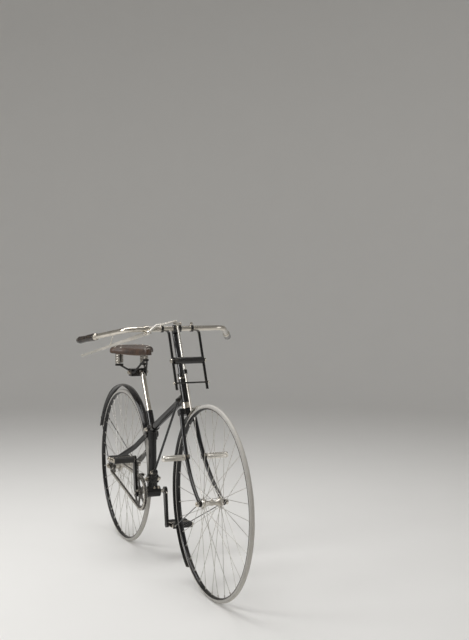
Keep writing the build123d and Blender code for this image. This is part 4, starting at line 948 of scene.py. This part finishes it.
def arc_points(first, middle, last, count):
    """Points on the circle through three points of the plan, from the first up to before the last."""
    (ax, ay), (bx, by), (cx, cy) = first, middle, last
    double = 2 * (ax * (by - cy) + bx * (cy - ay) + cx * (ay - by))
    a2, b2, c2 = ax * ax + ay * ay, bx * bx + by * by, cx * cx + cy * cy
    ox = (a2 * (by - cy) + b2 * (cy - ay) + c2 * (ay - by)) / double
    oy = (a2 * (cx - bx) + b2 * (ax - cx) + c2 * (bx - ax)) / double
    radius = ((ax - ox) ** 2 + (ay - oy) ** 2) ** 0.5
    from_angle, mid_angle, to_angle = (atan2(y - oy, x - ox) for x, y in (first, middle, last))
    sweep = (to_angle - from_angle + pi) % (2 * pi) - pi
    middle_sweep = (mid_angle - from_angle + pi) % (2 * pi) - pi
    if sweep * middle_sweep < 0:
        sweep -= 2 * pi * (1 if sweep > 0 else -1)
    turns = [from_angle + sweep * step / count for step in range(count)]
    return [(ox + radius * cos(turn), oy + radius * sin(turn)) for turn in turns]


tip_x = nose - nose_tip
half_plan = arc_points((nose, 0), (nose - 0.0056, 0.0134), (tip_x, nose_tip), 4)
for step in range(5):
    share = step / 5
    half_plan.append((tip_x + (waist_x - tip_x) * share, nose_tip + (waist_half - nose_tip) * share))
half_plan += arc_points((waist_x, waist_half), (-0.010, 0.052), (widest_x, half_width), 14)
rear_side = (0.004 - rear, half_width - 0.048)
half_plan += arc_points((widest_x, half_width), (-0.118, half_width - 0.012), rear_side, 6)
half_plan += [*arc_points(rear_side, (0.001 - rear, 0.030), (-rear, 0.0), 4), (-rear, 0.0)]
plan = half_plan + [(x, -y) for x, y in half_plan[-2:0:-1]]


def hide_point(x, y, share, drop, down):
    """A point of the hide: share of the way from its spine to the plan's edge, then down the skirt."""
    spine_x = max(spine_rear, min(spine_front, x))
    px, py = spine_x + (x - spine_x) * share, y * share
    sag = rear_rise / rear_run**2 if px < seat_low_x else nose_rise / nose_run**2
    top = sag * (px - seat_low_x) ** 2
    if not down:
        return Vector((px, py, top - drop))
    edge = top - crown_depth
    deep = skirt * (1 - skirt_dip + skirt_dip * cos((x - skirt_deepest_x) * skirt_wave))
    hem = min(-deep, edge - least_skirt)
    return Vector((px, py, edge + (hem - edge) * down))


rows = [(0.0, 0.0, 0.0), (0.3, 0.0002, 0.0), (0.55, 0.0008, 0.0), (0.74, 0.0017, 0.0), (0.84, 0.0031, 0.0)]
rows += [(0.92, 0.0064, 0.0), (0.972, 0.0116, 0.0), (0.996, 0.0180, 0.0), (1.0, crown_depth, 0.0)]
rows += [(0.998, 0.0, 0.55), (0.992, 0.0, 1.0)]
points = [hide_point(x, y, share, drop, down) for share, drop, down in rows for x, y in plan]
saddle = add_mesh("saddle_hide", points, ring_faces(len(rows), len(plan), flipped=True))
weld = saddle.modifiers.new("weld", "WELD")
weld.merge_threshold = 0.0002
thick = saddle.modifiers.new("hide", "SOLIDIFY")
thick.thickness = hide_thickness
thick.offset = -1.0
round_off = saddle.modifiers.new("round", "SUBSURF")
round_off.levels = 2
round_off.render_levels = 2
hide, start, place = new_finish("blocked_brown_hide")
cloud = place.noise(18.0, 5.0)
values = {"Vector": place, "Scale": 480.0}
grain = start.node("ShaderNodeTexVoronoi", values, feature="DISTANCE_TO_EDGE")
scratch = place.noise(240.0, 6.0, 0.75)
level = start.node("ShaderNodeSeparateXYZ", {0: place}, out="Z")
low_edge = 1 - level.rise(-0.032, -0.024)
brown = cloud.rise(0.3, 0.7).blend((0.020, 0.011, 0.007, 1), (0.075, 0.038, 0.020, 1))
scuffed = (scratch.rise(0.55, 0.75) * 0.5).blend(brown, (0.14, 0.08, 0.045, 1))
edged = (low_edge * 0.6).blend(scuffed, (0.12, 0.075, 0.045, 1))
lumps = grain.rise(0.0, 0.25) * 0.6 + scratch * 0.4
gloss = (0.24 + cloud * 0.12 + scratch.rise(0.5, 0.8) * 0.25 + low_edge * 0.2).clamped()
values = {"Base Color": edged, "Roughness": gloss, "Normal": lumps.dents(0.5, 0.0006), "Coat Weight": 0.15}
end_finish(start, values)
dress(saddle, hide)
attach(saddle, "frame")
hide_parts("saddle_leather")
rows = []
on_cantle = (20, 23, 27, len(plan) - 27, len(plan) - 23, len(plan) - 20, 30, len(plan) - 30)
for number in on_cantle:
    x, y = plan[number]
    seat = hide_point(x, y, 0.80, 0.0024, 0.0)
    rows.append((seat, (0.0, 0.25 * y / half_width, 1.0), 0.0095))
for x, y in ((0.140, 0.0), (0.131, 0.010), (0.131, -0.010)):
    rows.append((hide_point(x, y, 1.0, 0.0012, 0.0), up, 0.0075))
grow("saddle_rivets", rivet_tree, "frame", "nickel", seed=at_points("saddle_rivet_seats", rows))
